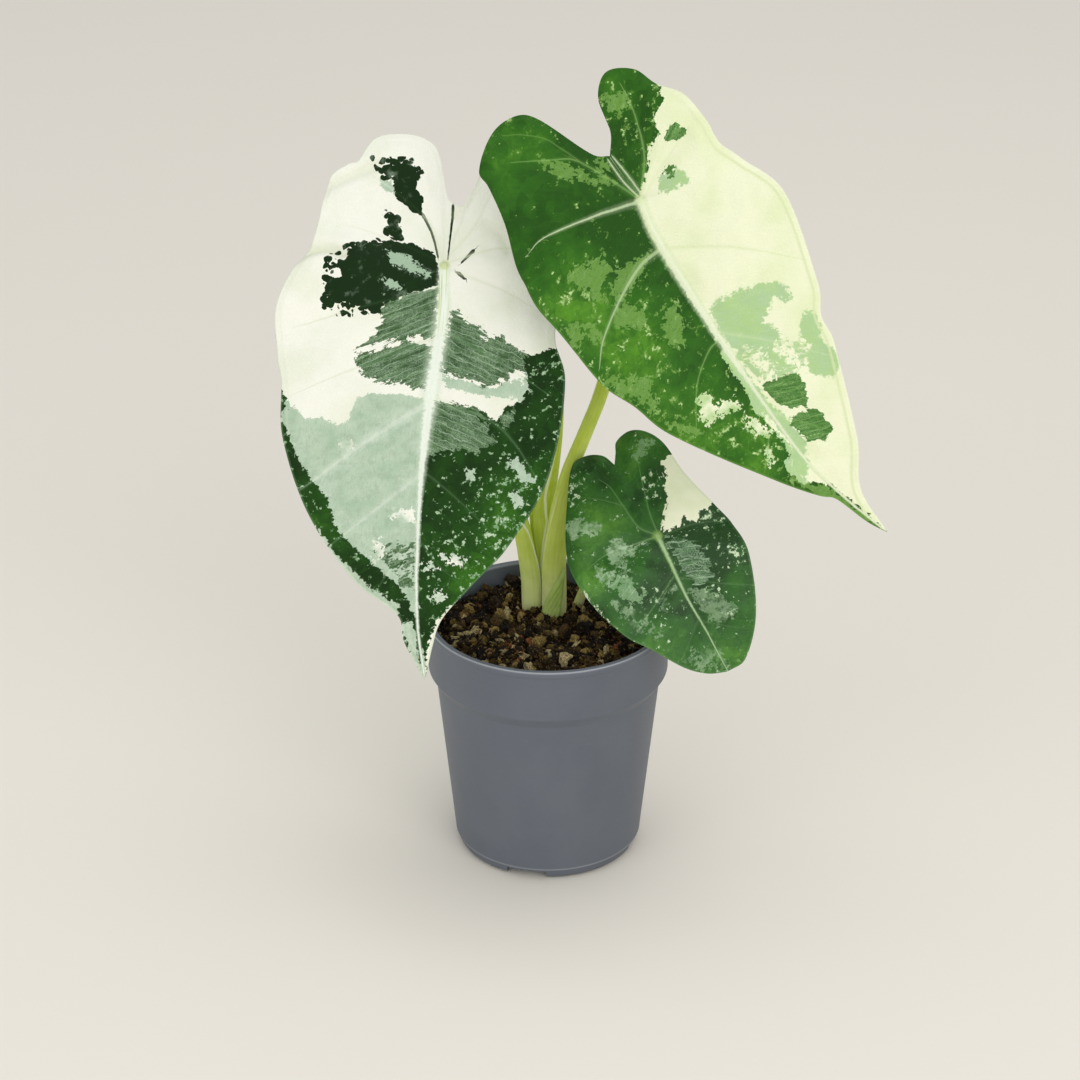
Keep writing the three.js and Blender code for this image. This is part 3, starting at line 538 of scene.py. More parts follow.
# A closed blade. Its upper face is the bent surface moved along its normal: up by exp(-1.6 rib
# squared) on the midrib, down in a narrow bell on each vein, up in quilting and ripples between the
# veins, and down in creases. Its underside lies below by a thickness that grows inwards from the rim
# and under the midrib and the veins.
def bladePiece(name, leaf):
    lobeSteps, ribSteps, stops = leaf["grid"]
    stopAt = rayStops(stops)
    flats, rayPlaces, quads, edges = [], [], [], []
    count = 0
    for side, margin in zip((-1, 1), leaf["margins"]):
        origins, ends = marginRays(margin, lobeSteps, ribSteps)
        rays = ends - origins
        flat = origins[:, None] + rays[:, None] * stopAt[None, :, None]
        reach = np.linalg.norm(rays, axis=1)[:, None] * stopAt
        middles = flat[:, stops // 2]
        apart = np.linalg.norm(np.diff(middles, axis=0, prepend=middles[:1]), axis=1)
        beside = np.repeat(np.cumsum(apart)[:, None], stops, axis=1)
        flats.append(flat.reshape(-1, 2))
        rayPlaces.append(np.stack([side * reach, beside], axis=-1).reshape(-1, 2))
        quads.append(gridFaces(len(ends), stops, first=count)[:, ::-side])
        edges.append((count + np.arange(len(ends)) * stops + stops - 1)[::-side])
        count += len(ends) * stops
    flats = np.concatenate(flats)
    rayPlaces = np.concatenate(rayPlaces)
    _, kept, merged = np.unique(np.round(flats, 5), axis=0, return_index=True, return_inverse=True)
    merged = merged.ravel()
    flat = flats[kept]
    rayPlace = rayPlaces[kept]
    u, v = flat.T
    size = len(flat)

    rimOrder = np.concatenate(edges)
    outline = flats[rimOrder]
    outline = outline[np.linalg.norm(outline - np.roll(outline, 1, axis=0), axis=1) > 0.01]
    rimGap = np.abs(insideDistance(flat, outline))
    ribRows, ribWidths = leaf["midrib"]
    rib = midribField(flat, ribRows, ribWidths)
    vein, veinGap, veinPower = strokeFields(flat, leaf["veins"])
    stroke, _, strokePower = strokeFields(flat, leaf.get("strokes", []))
    _, foldGap, foldPower = strokeFields(flat, leaf.get("folds", []))

    def bell(gap, reach):
        return np.exp(-((gap / bladeRelief[reach]) ** 2))

    normal = surfaceNormal(leaf, u, v)
    ribBump = np.exp(-(rib**2) * 1.6)
    groove = bladeRelief["grooveDepth"] * bell(veinGap, "grooveReach") * (1 - ribBump)
    quilt = 1 - bell(np.minimum(veinGap, np.abs(u)), "quiltReach")
    cockle = sum(height * ripples(flat, spread, seed) for height, spread, seed in bladeRelief["cockles"])
    inward = np.clip(rimGap / bladeRelief["flatRim"], 0, 1)
    creases = foldPower * bell(foldGap, "creaseReach")
    relief = bladeRelief["ribHeight"] * ribBump - groove + (leaf["quilt"] * quilt + cockle) * inward
    relief = relief - bladeRelief["creaseDepth"] * creases
    along = np.clip(v / leaf["margins"][0][-1][1], 0, 1)
    thickness = bladeRelief["rimThickness"]
    thickness = thickness + bladeRelief["thickening"] * np.clip(rimGap / bladeRelief["thickReach"], 0, 1)
    thickness = thickness + bell(u, "grooveReach") * (v > -1) * np.sqrt(1 - along) * ribRelief
    thickness = thickness + bladeRelief["veinThickness"] * bell(veinGap, "veinReach")
    base = leafSurface(leaf, u, v)
    upper = base + normal * relief[:, None]
    under = base + normal * (relief - thickness)[:, None]

    faces = mergedFaces(merged[np.concatenate(quads)])
    rimLoop = merged[rimOrder]
    following = np.roll(rimLoop, -1)
    rimFaces = np.stack([rimLoop, rimLoop + size, following + size, following], axis=1)
    faces = faces + [[corner + size for corner in face[::-1]] for face in faces] + mergedFaces(rimFaces)

    marks = ("cream", "sage", "net", "deep", "bits", "pale")
    fields = {mark: patchField(flat, leaf.get(mark, []), leaf.get(mark + "Sparse", [])) for mark in marks}
    fields |= {
        "stroke": stroke,
        "strokePower": strokePower,
        "fleck": spotField(flat, leaf["flecks"]),
        "brightGreen": spotField(flat, leaf["brightGreen"]),
        "vein": vein,
        "veinAway": np.abs(vein),
        "veinPower": veinPower,
        "rib": rib,
        "rim": rimGap,
        # The crease strength also paints shade into the skin along the folds.
        "crease": creases,
    }
    fields = {label: np.tile(values, 2) for label, values in fields.items()}
    fields["upper"] = np.repeat([1, 0], size)
    maps = {
        "flat": 0.5 + np.tile(flat, (2, 1)) / mapSpan,
        "ray": 0.5 + np.tile(rayPlace, (2, 1)) / mapSpan,
    }
    return makePiece(name, np.concatenate([upper, under]), faces, maps, fields)


# Distance from the midrib, counted in its half widths there, and growing fast behind its start.
def midribField(points, rows, widths):
    path = np.array(rows, float)
    width = np.interp(points[:, 1], path[:, 1], widths)
    centre = np.interp(points[:, 1], path[:, 1], path[:, 0])
    past = np.maximum(path[0, 1] - points[:, 1], 0)
    return np.minimum(np.abs(points[:, 0] - centre) / width, farAway) + past * 4


# Shader graphs.

def colour(code):
    values = [int(code[k:k + 2], 16) / 255 for k in (1, 3, 5)]
    return tuple(c / 12.92 if c <= 0.04045 else ((c + 0.055) / 1.055) ** 2.4 for c in values)


def colours(codes):
    return {key: colour(code) for key, code in codes.items()}


# A socket that takes part in expressions: each operator adds its Math node.
class Wire:
    def __init__(self, graph, socket):
        self.graph = graph
        self.socket = socket

    def __add__(self, other):
        return self.graph.math("ADD", self, other)

    def __sub__(self, other):
        return self.graph.math("SUBTRACT", self, other)

    def __rsub__(self, other):
        return self.graph.math("SUBTRACT", other, self)

    def __mul__(self, other):
        return self.graph.math("MULTIPLY", self, other)

    def __abs__(self):
        return self.graph.math("ABSOLUTE", self)

    __radd__ = __add__
    __rmul__ = __mul__

    # 0 up to low, 1 from high on, smooth between. low may be above high.
    def step(self, low, high):
        settings = {"interpolation_type": "SMOOTHSTEP"}
        inputs = {"Value": self, "From Min": low, "From Max": high}
        return self.graph.node("ShaderNodeMapRange", settings, inputs)

    def scaled(self, *factors):
        return self.graph.node("ShaderNodeVectorMath", {"operation": "MULTIPLY"}, {0: self, 1: factors})

    def moved(self, offset):
        return self.graph.node("ShaderNodeVectorMath", {"operation": "ADD"}, {0: self, 1: offset})


class Graph:
    def __init__(self, name):
        self.material = bpy.data.materials.new(name)
        self.material.use_nodes = True
        self.tree = self.material.node_tree
        self.shader = self.tree.nodes["Principled BSDF"]

    def feed(self, socket, value):
        if isinstance(value, Wire):
            self.tree.links.new(value.socket, socket)
        elif socket.type == "RGBA":
            socket.default_value = (*value, 1)
        else:
            socket.default_value = value

    def node(self, kind, settings=None, inputs=None, output=0):
        node = self.tree.nodes.new(kind)
        for key, value in (settings or {}).items():
            setattr(node, key, value)
        for key, value in (inputs or {}).items():
            self.feed(node.inputs[key], value)
        return Wire(self, node.outputs[output])

    def math(self, operation, first, second=0):
        return self.node("ShaderNodeMath", {"operation": operation}, {0: first, 1: second})

    def mix(self, factor, first, second):
        settings = {"data_type": "RGBA", "clamp_factor": True}
        return self.node("ShaderNodeMix", settings, {0: factor, 6: first, 7: second}, output=2)

    def largest(self, first, second):
        return self.math("MAXIMUM", first, second)

    def part(self, vector, axis):
        return self.node("ShaderNodeSeparateXYZ", {}, {0: vector}, output=axis)

    def joined(self, x, y, z):
        return self.node("ShaderNodeCombineXYZ", {}, {0: x, 1: y, 2: z})

    def length(self, vector):
        return self.node("ShaderNodeVectorMath", {"operation": "LENGTH"}, {0: vector}, output=1)

    def field(self, name):
        return self.node("ShaderNodeAttribute", {"attribute_name": name}, output=2)

    # Millimetres in the object's own space.
    def place(self):
        return self.node("ShaderNodeTexCoord", output=3).scaled(1 / mm, 1 / mm, 1 / mm)

    # Millimetres from a UV map.
    def mapPlace(self, name):
        uv = self.node("ShaderNodeUVMap", {"uv_map": name})
        return uv.moved((-0.5, -0.5, 0)).scaled(mapSpan, mapSpan, 0)

    def noise(self, vector, scale, detail=2, roughness=0.5):
        inputs = {"Vector": vector, "Scale": scale, "Detail": detail, "Roughness": roughness}
        return self.node("ShaderNodeTexNoise", {}, inputs)

    def cells(self, vector, scale, output, **settings):
        inputs = {"Vector": vector, "Scale": scale}
        return self.node("ShaderNodeTexVoronoi", settings, inputs, output)

    # One random value per cell.
    def cellValue(self, vector, scale, **settings):
        shade = self.cells(vector, scale, "Color", **settings)
        return self.node("ShaderNodeSeparateColor", {}, {0: shade})

    # Millimetres from the nearest border between two cells.
    def cellGap(self, vector, scale):
        return self.cells(vector, scale, "Distance", feature="DISTANCE_TO_EDGE")

    def bump(self, height, strength, distance):
        inputs = {"Height": height, "Strength": strength, "Distance": distance * mm}
        return self.node("ShaderNodeBump", {}, inputs)

    def finish(self, **values):
        for key, value in values.items():
            self.feed(self.shader.inputs[shaderInputs[key]], value)
        return self.material


shaderInputs = {
    "base": "Base Color", "roughness": "Roughness", "normal": "Normal", "specular": "Specular IOR Level",
    "subsurface": "Subsurface Weight", "subsurfaceScale": "Subsurface Scale",
    "subsurfaceRadius": "Subsurface Radius",
}


# The skin of the leaves.

# A look's "ragged" roughens the edges of the sage, "soft" blurs them, "thin" and "faint" let green
# through it, and "comb" draws out the ends of the net. "grain" says how fine the flecks are, "sparse"
# how few, "margin" how many more there are at the rim, "halo" how wide the dim patch round each is,
# and "spark" how pale they are. "lines", "hem" and "rimOnDark" are strengths of fine lines, and "glow"
# is that of the bright green spots. Behind "sageBits" mm along the blade, the bits are dull sage.
leftLook = {
    "tints": {
        "dark": "#14310a", "mid": "#1e4510", "brightGreen": "#3f781b", "pale": "#7fa676", "fleck": "#d3e5c6",
        "cream": "#f6f6e8", "creamShade": "#edf0dc", "creamVeinAndCreaseShade": "#dde3c6",
        "sage": "#bfd2ba", "sageShade": "#a6bfa3", "sageVein": "#dbe6d4",
        "net": "#64835b", "netDark": "#385630", "netLine": "#a9c2a2", "deep": "#132c0c",
        "vein": "#5f8558", "rib": "#f0f7e8", "ribShade": "#cfdfc8", "young": "#c3d07c", "rim": "#dbe5c8",
    },
    "ragged": 1, "rimOnDark": 0.3, "glow": 0.7, "lines": 0.02, "thin": 0.1, "gloss": 0.11, "rough": 0.5,
    "halo": 0.015, "comb": 1, "sparse": 0.006, "grain": 0.6, "spark": -0.3, "margin": 0.05, "hem": 0.25,
    "soft": 0.07, "faint": 0, "sageBits": 20,
}
rightLook = {
    "tints": {
        "dark": "#235011", "mid": "#316718", "brightGreen": "#64a02a", "pale": "#719d44", "fleck": "#bddc94",
        "cream": "#f1f5d2", "creamShade": "#e7efc2", "creamVeinAndCreaseShade": "#dae4b2",
        "sage": "#b1d28d", "sageShade": "#b0cda2", "sageVein": "#d6e6bc",
        "net": "#5b8c42", "netDark": "#3f6f2b", "netLine": "#8fb872", "deep": "#1d3f10",
        "vein": "#8fbb66", "rib": "#e9f0d0", "ribShade": "#cfe0b4", "young": "#dbe8b0", "rim": "#f2f5d8",
    },
    "ragged": 1.1, "rimOnDark": 0.45, "glow": 0.8, "lines": 0.05, "thin": 0.1, "gloss": 0.13, "rough": 0.46,
    "halo": 0.05, "comb": 0.3, "sparse": 0.016, "grain": 0.42, "spark": 0.1, "margin": 0.03, "hem": 0.7,
    "soft": 0.35, "faint": 0, "sageBits": -60,
}
smallLook = {
    "tints": {
        "dark": "#1c4214", "mid": "#306520", "brightGreen": "#6aa33c", "pale": "#7ca770", "fleck": "#d4e6c2",
        "cream": "#f3f5d8", "creamShade": "#e8edc8", "creamVeinAndCreaseShade": "#d8e1b4",
        "sage": "#a8c69c", "sageShade": "#7da072", "sageVein": "#c6dcc0",
        "net": "#5d8558", "netDark": "#274f24", "netLine": "#bdd6b6", "deep": "#1b3a1c",
        "vein": "#7da767", "rib": "#b4cf9f", "ribShade": "#7fa86c", "young": "#8fb65a", "rim": "#c6d8a8",
    },
    "ragged": 1.7, "rimOnDark": 0.2, "glow": 0.6, "lines": 0.05, "thin": 0.7, "gloss": 0.3, "rough": 0.33,
    "halo": 0.04, "comb": 1.1, "sparse": 0.03, "grain": 0.75, "spark": 0.45, "margin": 0.02, "hem": 0.1,
    "soft": 0.2, "faint": 0.45, "sageBits": -60,
}

undersideTint = "#a9bd96"


def leafMaterial(name, look):
    tint = colours(look["tints"])
    graph = Graph(name)
    flat = graph.mapPlace("flat")
    ray = graph.mapPlace("ray")
    along = graph.part(flat, "Y")
    wobble = graph.noise(flat, 0.3, 2) - 0.5
    ragged = graph.noise(flat, 0.9, 5, 0.65) - 0.5
    fine = graph.noise(flat, 2.6, 3, 0.6) - 0.5
    blob = graph.noise(flat, 0.55, 1) - 0.5
    cluster = graph.noise(flat, 0.2, 3) - 0.5
    facet = graph.cellValue(flat, 0.42) - 0.5
    lump = graph.cellValue(flat, 0.9) - 0.5
    chip = graph.cellValue(flat, 1.7) - 0.5
    block = graph.cellValue(ray.scaled(0.4, 1.1, 1), 1, distance="CHEBYCHEV") - 0.5
    smallBlock = graph.cellValue(ray.scaled(0.9, 2.2, 1), 1, distance="CHEBYCHEV") - 0.5
    netGap = graph.cellGap(ray.scaled(0.75, 1.7, 1), 1)
    fineNetGap = graph.cellGap(flat, 1.9)
    tinyNetGap = graph.cellGap(ray.scaled(2.1, 3, 1), 1)
    island = graph.cellValue(flat, 0.65) - 0.5
    islandGap = graph.cells(flat, 0.65, "Distance")

    # Fine parallel lines between the side veins, with shorter ones across them.
    weft = graph.math("SINE", graph.part(ray, "Y") * 4 + wobble * 8 + fine)
    warp = graph.math("SINE", graph.part(ray, "X") * 3.6 + wobble * 10 + ragged * 7)
    lines = graph.largest(weft.step(0.88, 1), warp.step(0.88, 1) * 0.45)
    lines = lines * graph.noise(ray.scaled(0.2, 0.9, 1), 1, 2).step(0.3, 0.6)
    mesh = tinyNetGap.step(0.14, 0.02) * graph.noise(ray.scaled(0.3, 0.7, 1), 1, 3).step(0.35, 0.6)

    # Plain green, darker and lighter in soft clouds with faint angular tones, brighter on each blade's
    # listed bright green spots and darker where a spot's strength is below 0.
    cloud = graph.noise(flat, 0.12, 3) + graph.field("brightGreen") * 0.9 * look["glow"] - 0.25 + facet * 0.16
    green = graph.mix(cloud.step(0.1, 0.5), tint["dark"], tint["mid"])
    green = graph.mix((cloud + ragged * 0.5).step(0.4, 1.15) * 0.9, green, tint["brightGreen"])
    green = graph.mix(lines * look["lines"], green, tint["pale"])

    # Flecks with a dimmer patch round them, thicker where the fleck field says.
    fleckField = graph.field("fleck")
    rimField = graph.field("rim") + ragged * 1.5
    speckle = graph.noise(flat, look["grain"], 5, 0.64) + cluster * 0.25 + lump * 0.1 + chip * 0.1
    speckle = speckle + fine * 0.04 + fleckField * 0.072 - look["sparse"]
    speckle = speckle + rimField.step(2.2, 0.6) * along.step(5, 30) * look["margin"]
    dimmer = graph.mix(0.55, green, tint["pale"])
    halo = speckle.step(0.658 - look["halo"], 0.664 - look["halo"])
    green = graph.mix(halo * 0.8, green, graph.mix(mesh * 0.5, dimmer, tint["pale"]))
    fleckTint = graph.mix(chip + lump + fleckField * 0.25 + look["spark"], tint["pale"], tint["fleck"])
    green = graph.mix(speckle.step(0.668, 0.675) * 0.95, green, fleckTint)

    # A patch is its distance field, roughened and cut at 0.
    edge = wobble * 2 + ragged * 2.2 + smallBlock * 0.5
    jagged = wobble * 1.2 + ragged * 1.1 + lump * 2 + chip * 1.1
    pale = (graph.field("pale") + jagged + 0.2).step(-0.05, 0.05)
    paleTint = graph.mix(graph.largest(lines, mesh * 0.7) * 0.6, tint["pale"], tint["netLine"])
    paleTint = graph.mix((chip * 0.5 + fine).step(0.1, 0.4) * 0.5, paleTint, tint["mid"])
    body = graph.mix(pale * 0.78, green, paleTint)

    creamField = graph.field("cream")
    cream = (creamField + edge * 0.8 + lump * 0.9).step(-0.07, 0.07)
    creamTint = graph.mix(graph.noise(flat, 0.07, 3).step(0.42, 0.68), tint["cream"], tint["creamShade"])

    # Sage also fills the seam where it meets the cream.
    sageField = graph.field("sage")
    sageEdge = (edge * 0.9 + lump * 0.7 + chip * 0.3) * look["ragged"]
    sage = (sageField + sageEdge).step(-look["soft"], look["soft"])
    wholeSage = sage
    seam = (graph.math("MINIMUM", creamField, sageField) + sageEdge * 0.8).step(-1.4, -1.3)
    crease = graph.noise(ray.scaled(2.4, 0.7, 1), 1, 4, 0.65)
    sageTint = graph.mix(graph.noise(flat, 0.2, 4).step(0.3, 0.85), tint["sage"], tint["sageShade"])
    sageTint = graph.mix(crease.step(0.5, 0.6) * 0.5, sageTint, tint["sageShade"])
    sageTint = graph.mix((mesh + fine).step(0.7, 1.1) * 0.35, sageTint, tint["sageVein"])
    patchy = graph.noise(flat, 0.45, 5, 0.7).step(0.47, 0.6)
    sage = sage * (1 - patchy * look["thin"]) * (1 - along.step(3, 14) * look["faint"])
    body = graph.mix(graph.largest(sage, seam), body, sageTint)
    body = graph.mix(cream * (1 - wholeSage), body, creamTint)

    # Net: dark streaks under fine pale lines, with ends like a comb's.
    comb = (block * 1.3 + smallBlock * 0.8) * look["comb"]
    netField = graph.field("net") + wobble * 1.4 + comb + ragged * 0.7 + lump * 0.5
    net = netField.step(-0.05, 0.05)
    streak = graph.noise(ray.scaled(0.12, 1.3, 1), 1, 3, 0.6) + fine * 0.5
    netTint = graph.mix(streak.step(0.38, 0.66), tint["netDark"], tint["net"])
    netTint = graph.mix(netField.step(0.8, 0.1) * 0.35, netTint, tint["netDark"])
    netTint = graph.mix(graph.largest(lines * 0.75, mesh * 0.5), netTint, tint["netLine"])
    netTint = graph.mix((streak + fine * 0.4).step(0.7, 0.76) * 0.6, netTint, tint["sage"])
    body = graph.mix(net, body, netTint)

    # Dark patches that break up into rounded islands, most of all far out on the left.
    deepField = graph.field("deep")
    crumble = island * 1.7 + (0.45 - islandGap) * 1.8 + blob * 1.5 + ragged * 0.15 + 0.35
    crumble = crumble * (0.35 + graph.part(flat, "X").step(-11, -19) * 0.65)
    deep = (deepField + crumble * (1 - deepField.step(0.6, 1.8))).step(-0.05, 0.08)
    deepTint = graph.mix(cloud.step(0.3, 0.9), tint["deep"], tint["mid"])
    deepTint = graph.mix(graph.noise(flat, 0.24, 4, 0.6).step(0.55, 0.75) * 0.4, deepTint, tint["sageShade"])
    deepTint = graph.mix((speckle + fine * 0.3).step(0.72, 0.75) * 0.5, deepTint, tint["sage"])
    body = graph.mix(deep, body, deepTint)
    stroke = (abs(graph.field("stroke")) + ragged * 1.2).step(1.1, 0.8)
    body = graph.mix(stroke * graph.field("strokePower").step(0.3, 0.9), body, tint["deep"])

    bits = (graph.field("bits") + edge * 0.8 + lump * 1.2 + chip * 1.2).step(-0.06, 0.06)
    bitTint = graph.mix((wobble + 0.5).step(0.3, 0.7), tint["cream"], tint["sage"])
    bitTint = graph.mix(along.step(look["sageBits"], look["sageBits"] - 5), bitTint, tint["sageShade"])
    body = graph.mix(bits, body, bitTint)

    # Veins: a thin clear line in a faint wider one.
    plain = (1 - net) * (1 - deep)
    power = graph.field("veinPower") * (1 - deep * 0.85)
    light = graph.largest(cream, sage) * plain
    veinTint = graph.mix(cream * plain, tint["vein"], tint["creamVeinAndCreaseShade"])
    veinTint = graph.mix(sage * plain, veinTint, tint["sageVein"])
    veinTint = graph.mix((1 - light) * power.step(0.6, 1) * 0.8, veinTint, tint["sageVein"])
    softVein = (graph.field("veinAway") + ragged * 1.4).step(3.4, 0.8) * power
    thinVein = (abs(graph.field("vein")) + ragged * 0.9).step(1.1, 0.4) * power
    body = graph.mix(softVein * (light * 0.25 + 0.2), body, veinTint)
    body = graph.mix(thinVein * 0.75, body, veinTint)
    rib = graph.field("rib") + ragged * 1.1 + smallBlock * 0.25
    body = graph.mix(rib.step(2.2, 0.9) * 0.5, body, tint["ribShade"])
    body = graph.mix(rib.step(1.25, 0.5) * 0.95, body, tint["rib"])
    threads = graph.noise(flat.scaled(2.4, 0.05, 1), 1, 2).step(0.5, 0.62)
    body = graph.mix(threads * rib.step(1.6, 0.6) * along.step(24, 6) * 0.75, body, tint["young"])
    heart = graph.length(flat) + ragged
    body = graph.mix(heart.step(1.7, 0.7) * 0.6, body, tint["young"])
    rim = (rimField - ragged * 1.2).step(0.55, 0.15)
    rimTint = graph.mix(light, tint["pale"], tint["rim"])
    body = graph.mix(rim * (light * 0.25 + look["rimOnDark"] * along.step(-10, 20)), body, rimTint)
    # Painted shade along the creases of the folds: the light parts darken there to the cream vein colour.
    body = graph.mix(graph.field("crease") * light * 0.9, body, tint["creamVeinAndCreaseShade"])
    hem = abs(rimField - ragged * 1.4 - 1.5).step(0.5, 0.1) * light
    body = graph.mix(hem * look["hem"] * along.step(-20, 10), body, tint["creamVeinAndCreaseShade"])

    # The underside is paler and greyer.
    upper = graph.field("upper")
    under = graph.mix(0.42, body, colour(undersideTint))
    body = graph.mix(upper.step(0, 0.15), under, body)

    # Bump: fine cells of the skin, and a low ridge just inside the rim.
    ridge = abs(graph.field("rim") - 1.4).step(1, 0)
    relief = netGap.step(0, 0.16) * 0.4 + fineNetGap.step(0, 0.2) * 0.3 + fine * 0.4 + crease * 0.8
    relief = relief + ridge * 1.5
    rough = look["rough"] + ragged * 0.12 + fine * 0.08
    normal = graph.bump(relief, 0.5, 0.14)
    return graph.finish(base=body, roughness=rough, normal=normal, specular=look["gloss"])


# Stalks, shoot and sheath.

# A station is a centre and the half widths across and back there. A ridge gives, by height, the angle
# in degrees at which one edge of the stalk overlaps the other, and the lip how far that edge stands up.
leftPetiole = {
    "stations": [
        (-3.9, 13.6, stemFoot, 1.9, 1.8), (-4.1, 13.7, 57, 2.3, 2.2), (-4.5, 14, 65.9, 2.35, 2.1),
        (-6.3, 15, 77.4, 2.2, 1.9), (-8.7, 16, 85.7, 2, 1.8), (-15.9, 19.5, 111.2, 1.75, 1.7),
        (-19.9, 20.5, 127, 1.65, 1.6), (-22.4, 18.6, 139.5, 1.5, 1.5)],
    "leaf": leftLeaf, "endWidth": 1.4,
    "ridge": [(48, -5), (68, -12), (77, -45), (83, -95), (90, -110)], "lip": 0.9,
}
rightPetiole = {
    "stations": [
        (1.7, 11.9, stemFoot, 2.4, 1.9), (1.6, 11.3, 57, 2.95, 2.3), (1.6, 11.1, 71.6, 2.95, 2.2),
        (2.8, 11, 83, 2.6, 2.1), (4.6, 10.5, 93.9, 2, 1.9), (6.9, 10.2, 101.3, 1.85, 1.85),
        (12.1, 9.2, 115.9, 1.7, 1.7), (17, 8, 134.8, 1.6, 1.6), (20.4, 6.8, 151, 1.5, 1.5),
        (21.9, 3.4, 164, 1.4, 1.4)],
    "leaf": rightLeaf, "endWidth": 1.3,
    "ridge": [(48, -168), (70, -168), (80, -150), (90, -130), (96, -110)], "lip": 0.4,
}
smallPetiole = {
    "stations": [
        (4.7, 15.4, stemFoot, 1.2, 1.2), (7.3, 14.9, 56.5, 1.2, 1.2), (9.7, 13.6, 63.3, 1.15, 1.15),
        (14.5, 10, 71, 1.1, 1.1), (20.8, 4, 78.4, 1.05, 1.05), (25.4, -2.6, 84, 1, 1)],
    "leaf": smallLeaf, "endWidth": 0.95,
    "ridge": [(48, 100), (60, 100), (66, 100)], "lip": 0.3,
}
newShoot = {
    "stations": [
        (-0.5, 16.8, stemFoot, 1.7, 1.5), (0, 16.9, 59, 2, 1.8), (-0.9, 17, 68.6, 2.5, 1.8),
        (-1.6, 17, 80, 3, 1.8), (-1.2, 16.8, 87, 3, 1.7), (0.3, 16.5, 94, 2.4, 1.5),
        (1.9, 16.2, 102, 1.6, 1.2), (3, 16, 109.7, 0.85, 0.75), (3.3, 15.9, 114.8, 0.3, 0.3)],
    "ridge": [(48, -115), (68, -109), (77, -75), (80, -64), (87, -81), (100, -85), (113, -80)], "lip": 0.8,
}

stalkTints = {"streak": "#e9f0b8", "cloud": "#86a52e", "speck": "#8f9440"}


# The stations, and under a blade two more that end just below its midrib.
def stemStations(stem):
    if "leaf" not in stem:
        return np.array(stem["stations"], float)
    _, _, normal = leafAxes(stem["leaf"])
    seat = bladeThickness + ribRelief + clearance
    attach = np.array(stem["leaf"]["attach"])
    width = stem["endWidth"]
    ends = [[*(attach - normal * (seat + below)), width, width] for below in (3, 0)]
    return np.array([*stem["stations"], *ends], float)


# Rings square to the path: their centres, sideways and backward axes, and half sizes.
def stemRings(stations, spacing):
    knots = knotsAlong(stations, [0, 1, 2], 1)
    length = knots[-1]
    at = np.linspace(0, length, round(length / spacing) + 1)
    rows = spline(knots, stations, at)
    ahead = spline(knots, stations, np.minimum(at + 0.1, length))[:, :3]
    behind = spline(knots, stations, np.minimum(at, length - 0.1))[:, :3]
    tangent = unit(ahead - behind)
    depthAxis = unit(np.cross(tangent, [1, 0, 0]))
    widthAxis = np.cross(depthAxis, tangent)
    return at, rows, widthAxis, depthAxis


# An ellipse carried along the stem's path. Its size grows by a narrow bell at the lip, drops just
# beyond it and comes back slowly, and has flutes and swellings that are sines of angle and length.
def stemPiece(name, stem, spacing=0.7, sides=80):
    at, rows, widthAxis, depthAxis = stemRings(stemStations(stem), spacing)
    angle = np.linspace(0, 2 * np.pi, sides, endpoint=False)
    turn, along = np.meshgrid(angle, at)
    heights, degrees = np.array(stem["ridge"], float).T
    ridgeAngle = np.interp(rows[:, 2], heights, np.radians(degrees))[:, None]
    away = (turn - ridgeAngle + np.pi) % (2 * np.pi) - np.pi
    radius = (rows[:, 3] + rows[:, 4])[:, None] / 2
    ridgeGap = away * radius
    fade = np.clip((heights[-1] - rows[:, 2]) / 8, 0, 1)[:, None]
    lip = stem["lip"] * np.exp(-((ridgeGap / 0.26) ** 2)) * fade
    beyond = np.clip(ridgeGap, 0, None)
    step = -0.25 * stem["lip"] * np.clip(beyond / 0.5, 0, 1) * np.exp(-beyond / 1.3) * fade
    flutes = 0.035 * np.sin(turn * 13) + 0.02 * np.sin(turn * 22 + along * 0.05)
    uneven = 0.05 * np.sin(along / 5.3 + 2 * np.sin(turn)) + 0.03 * np.sin(along / 2.1 + turn * 3)
    grow = 0.28 * lip + step + flutes + uneven
    tip = np.minimum(radius, 1)
    wide = (rows[:, 3][:, None] + grow * tip) * np.cos(turn)
    deep = (rows[:, 4][:, None] + grow * tip) * np.sin(turn)
    rings = rows[:, None, :3] + widthAxis[:, None] * wide[..., None] + depthAxis[:, None] * deep[..., None]
    points = np.concatenate([rings.reshape(-1, 3), rows[:1, :3], rows[-1:, :3]])
    count = len(at) * sides
    faces = gridFaces(len(at), sides, closed=True).tolist()
    for k in range(sides):
        beside = (k + 1) % sides
        faces.append([beside, k, count])
        faces.append([count - sides + k, count - sides + beside, count + 1])
    fields = {
        "around": np.append((turn * radius).ravel(), [0, 0]),
        "rise": np.append(along.ravel(), [0, at[-1]]),
        "lip": np.append(lip.ravel(), [0, 0]),
        "height": np.append(np.repeat(rows[:, 2], sides), [rows[0, 2], rows[-1, 2]]),
    }
    return makePiece(name, points, faces, fields=fields)


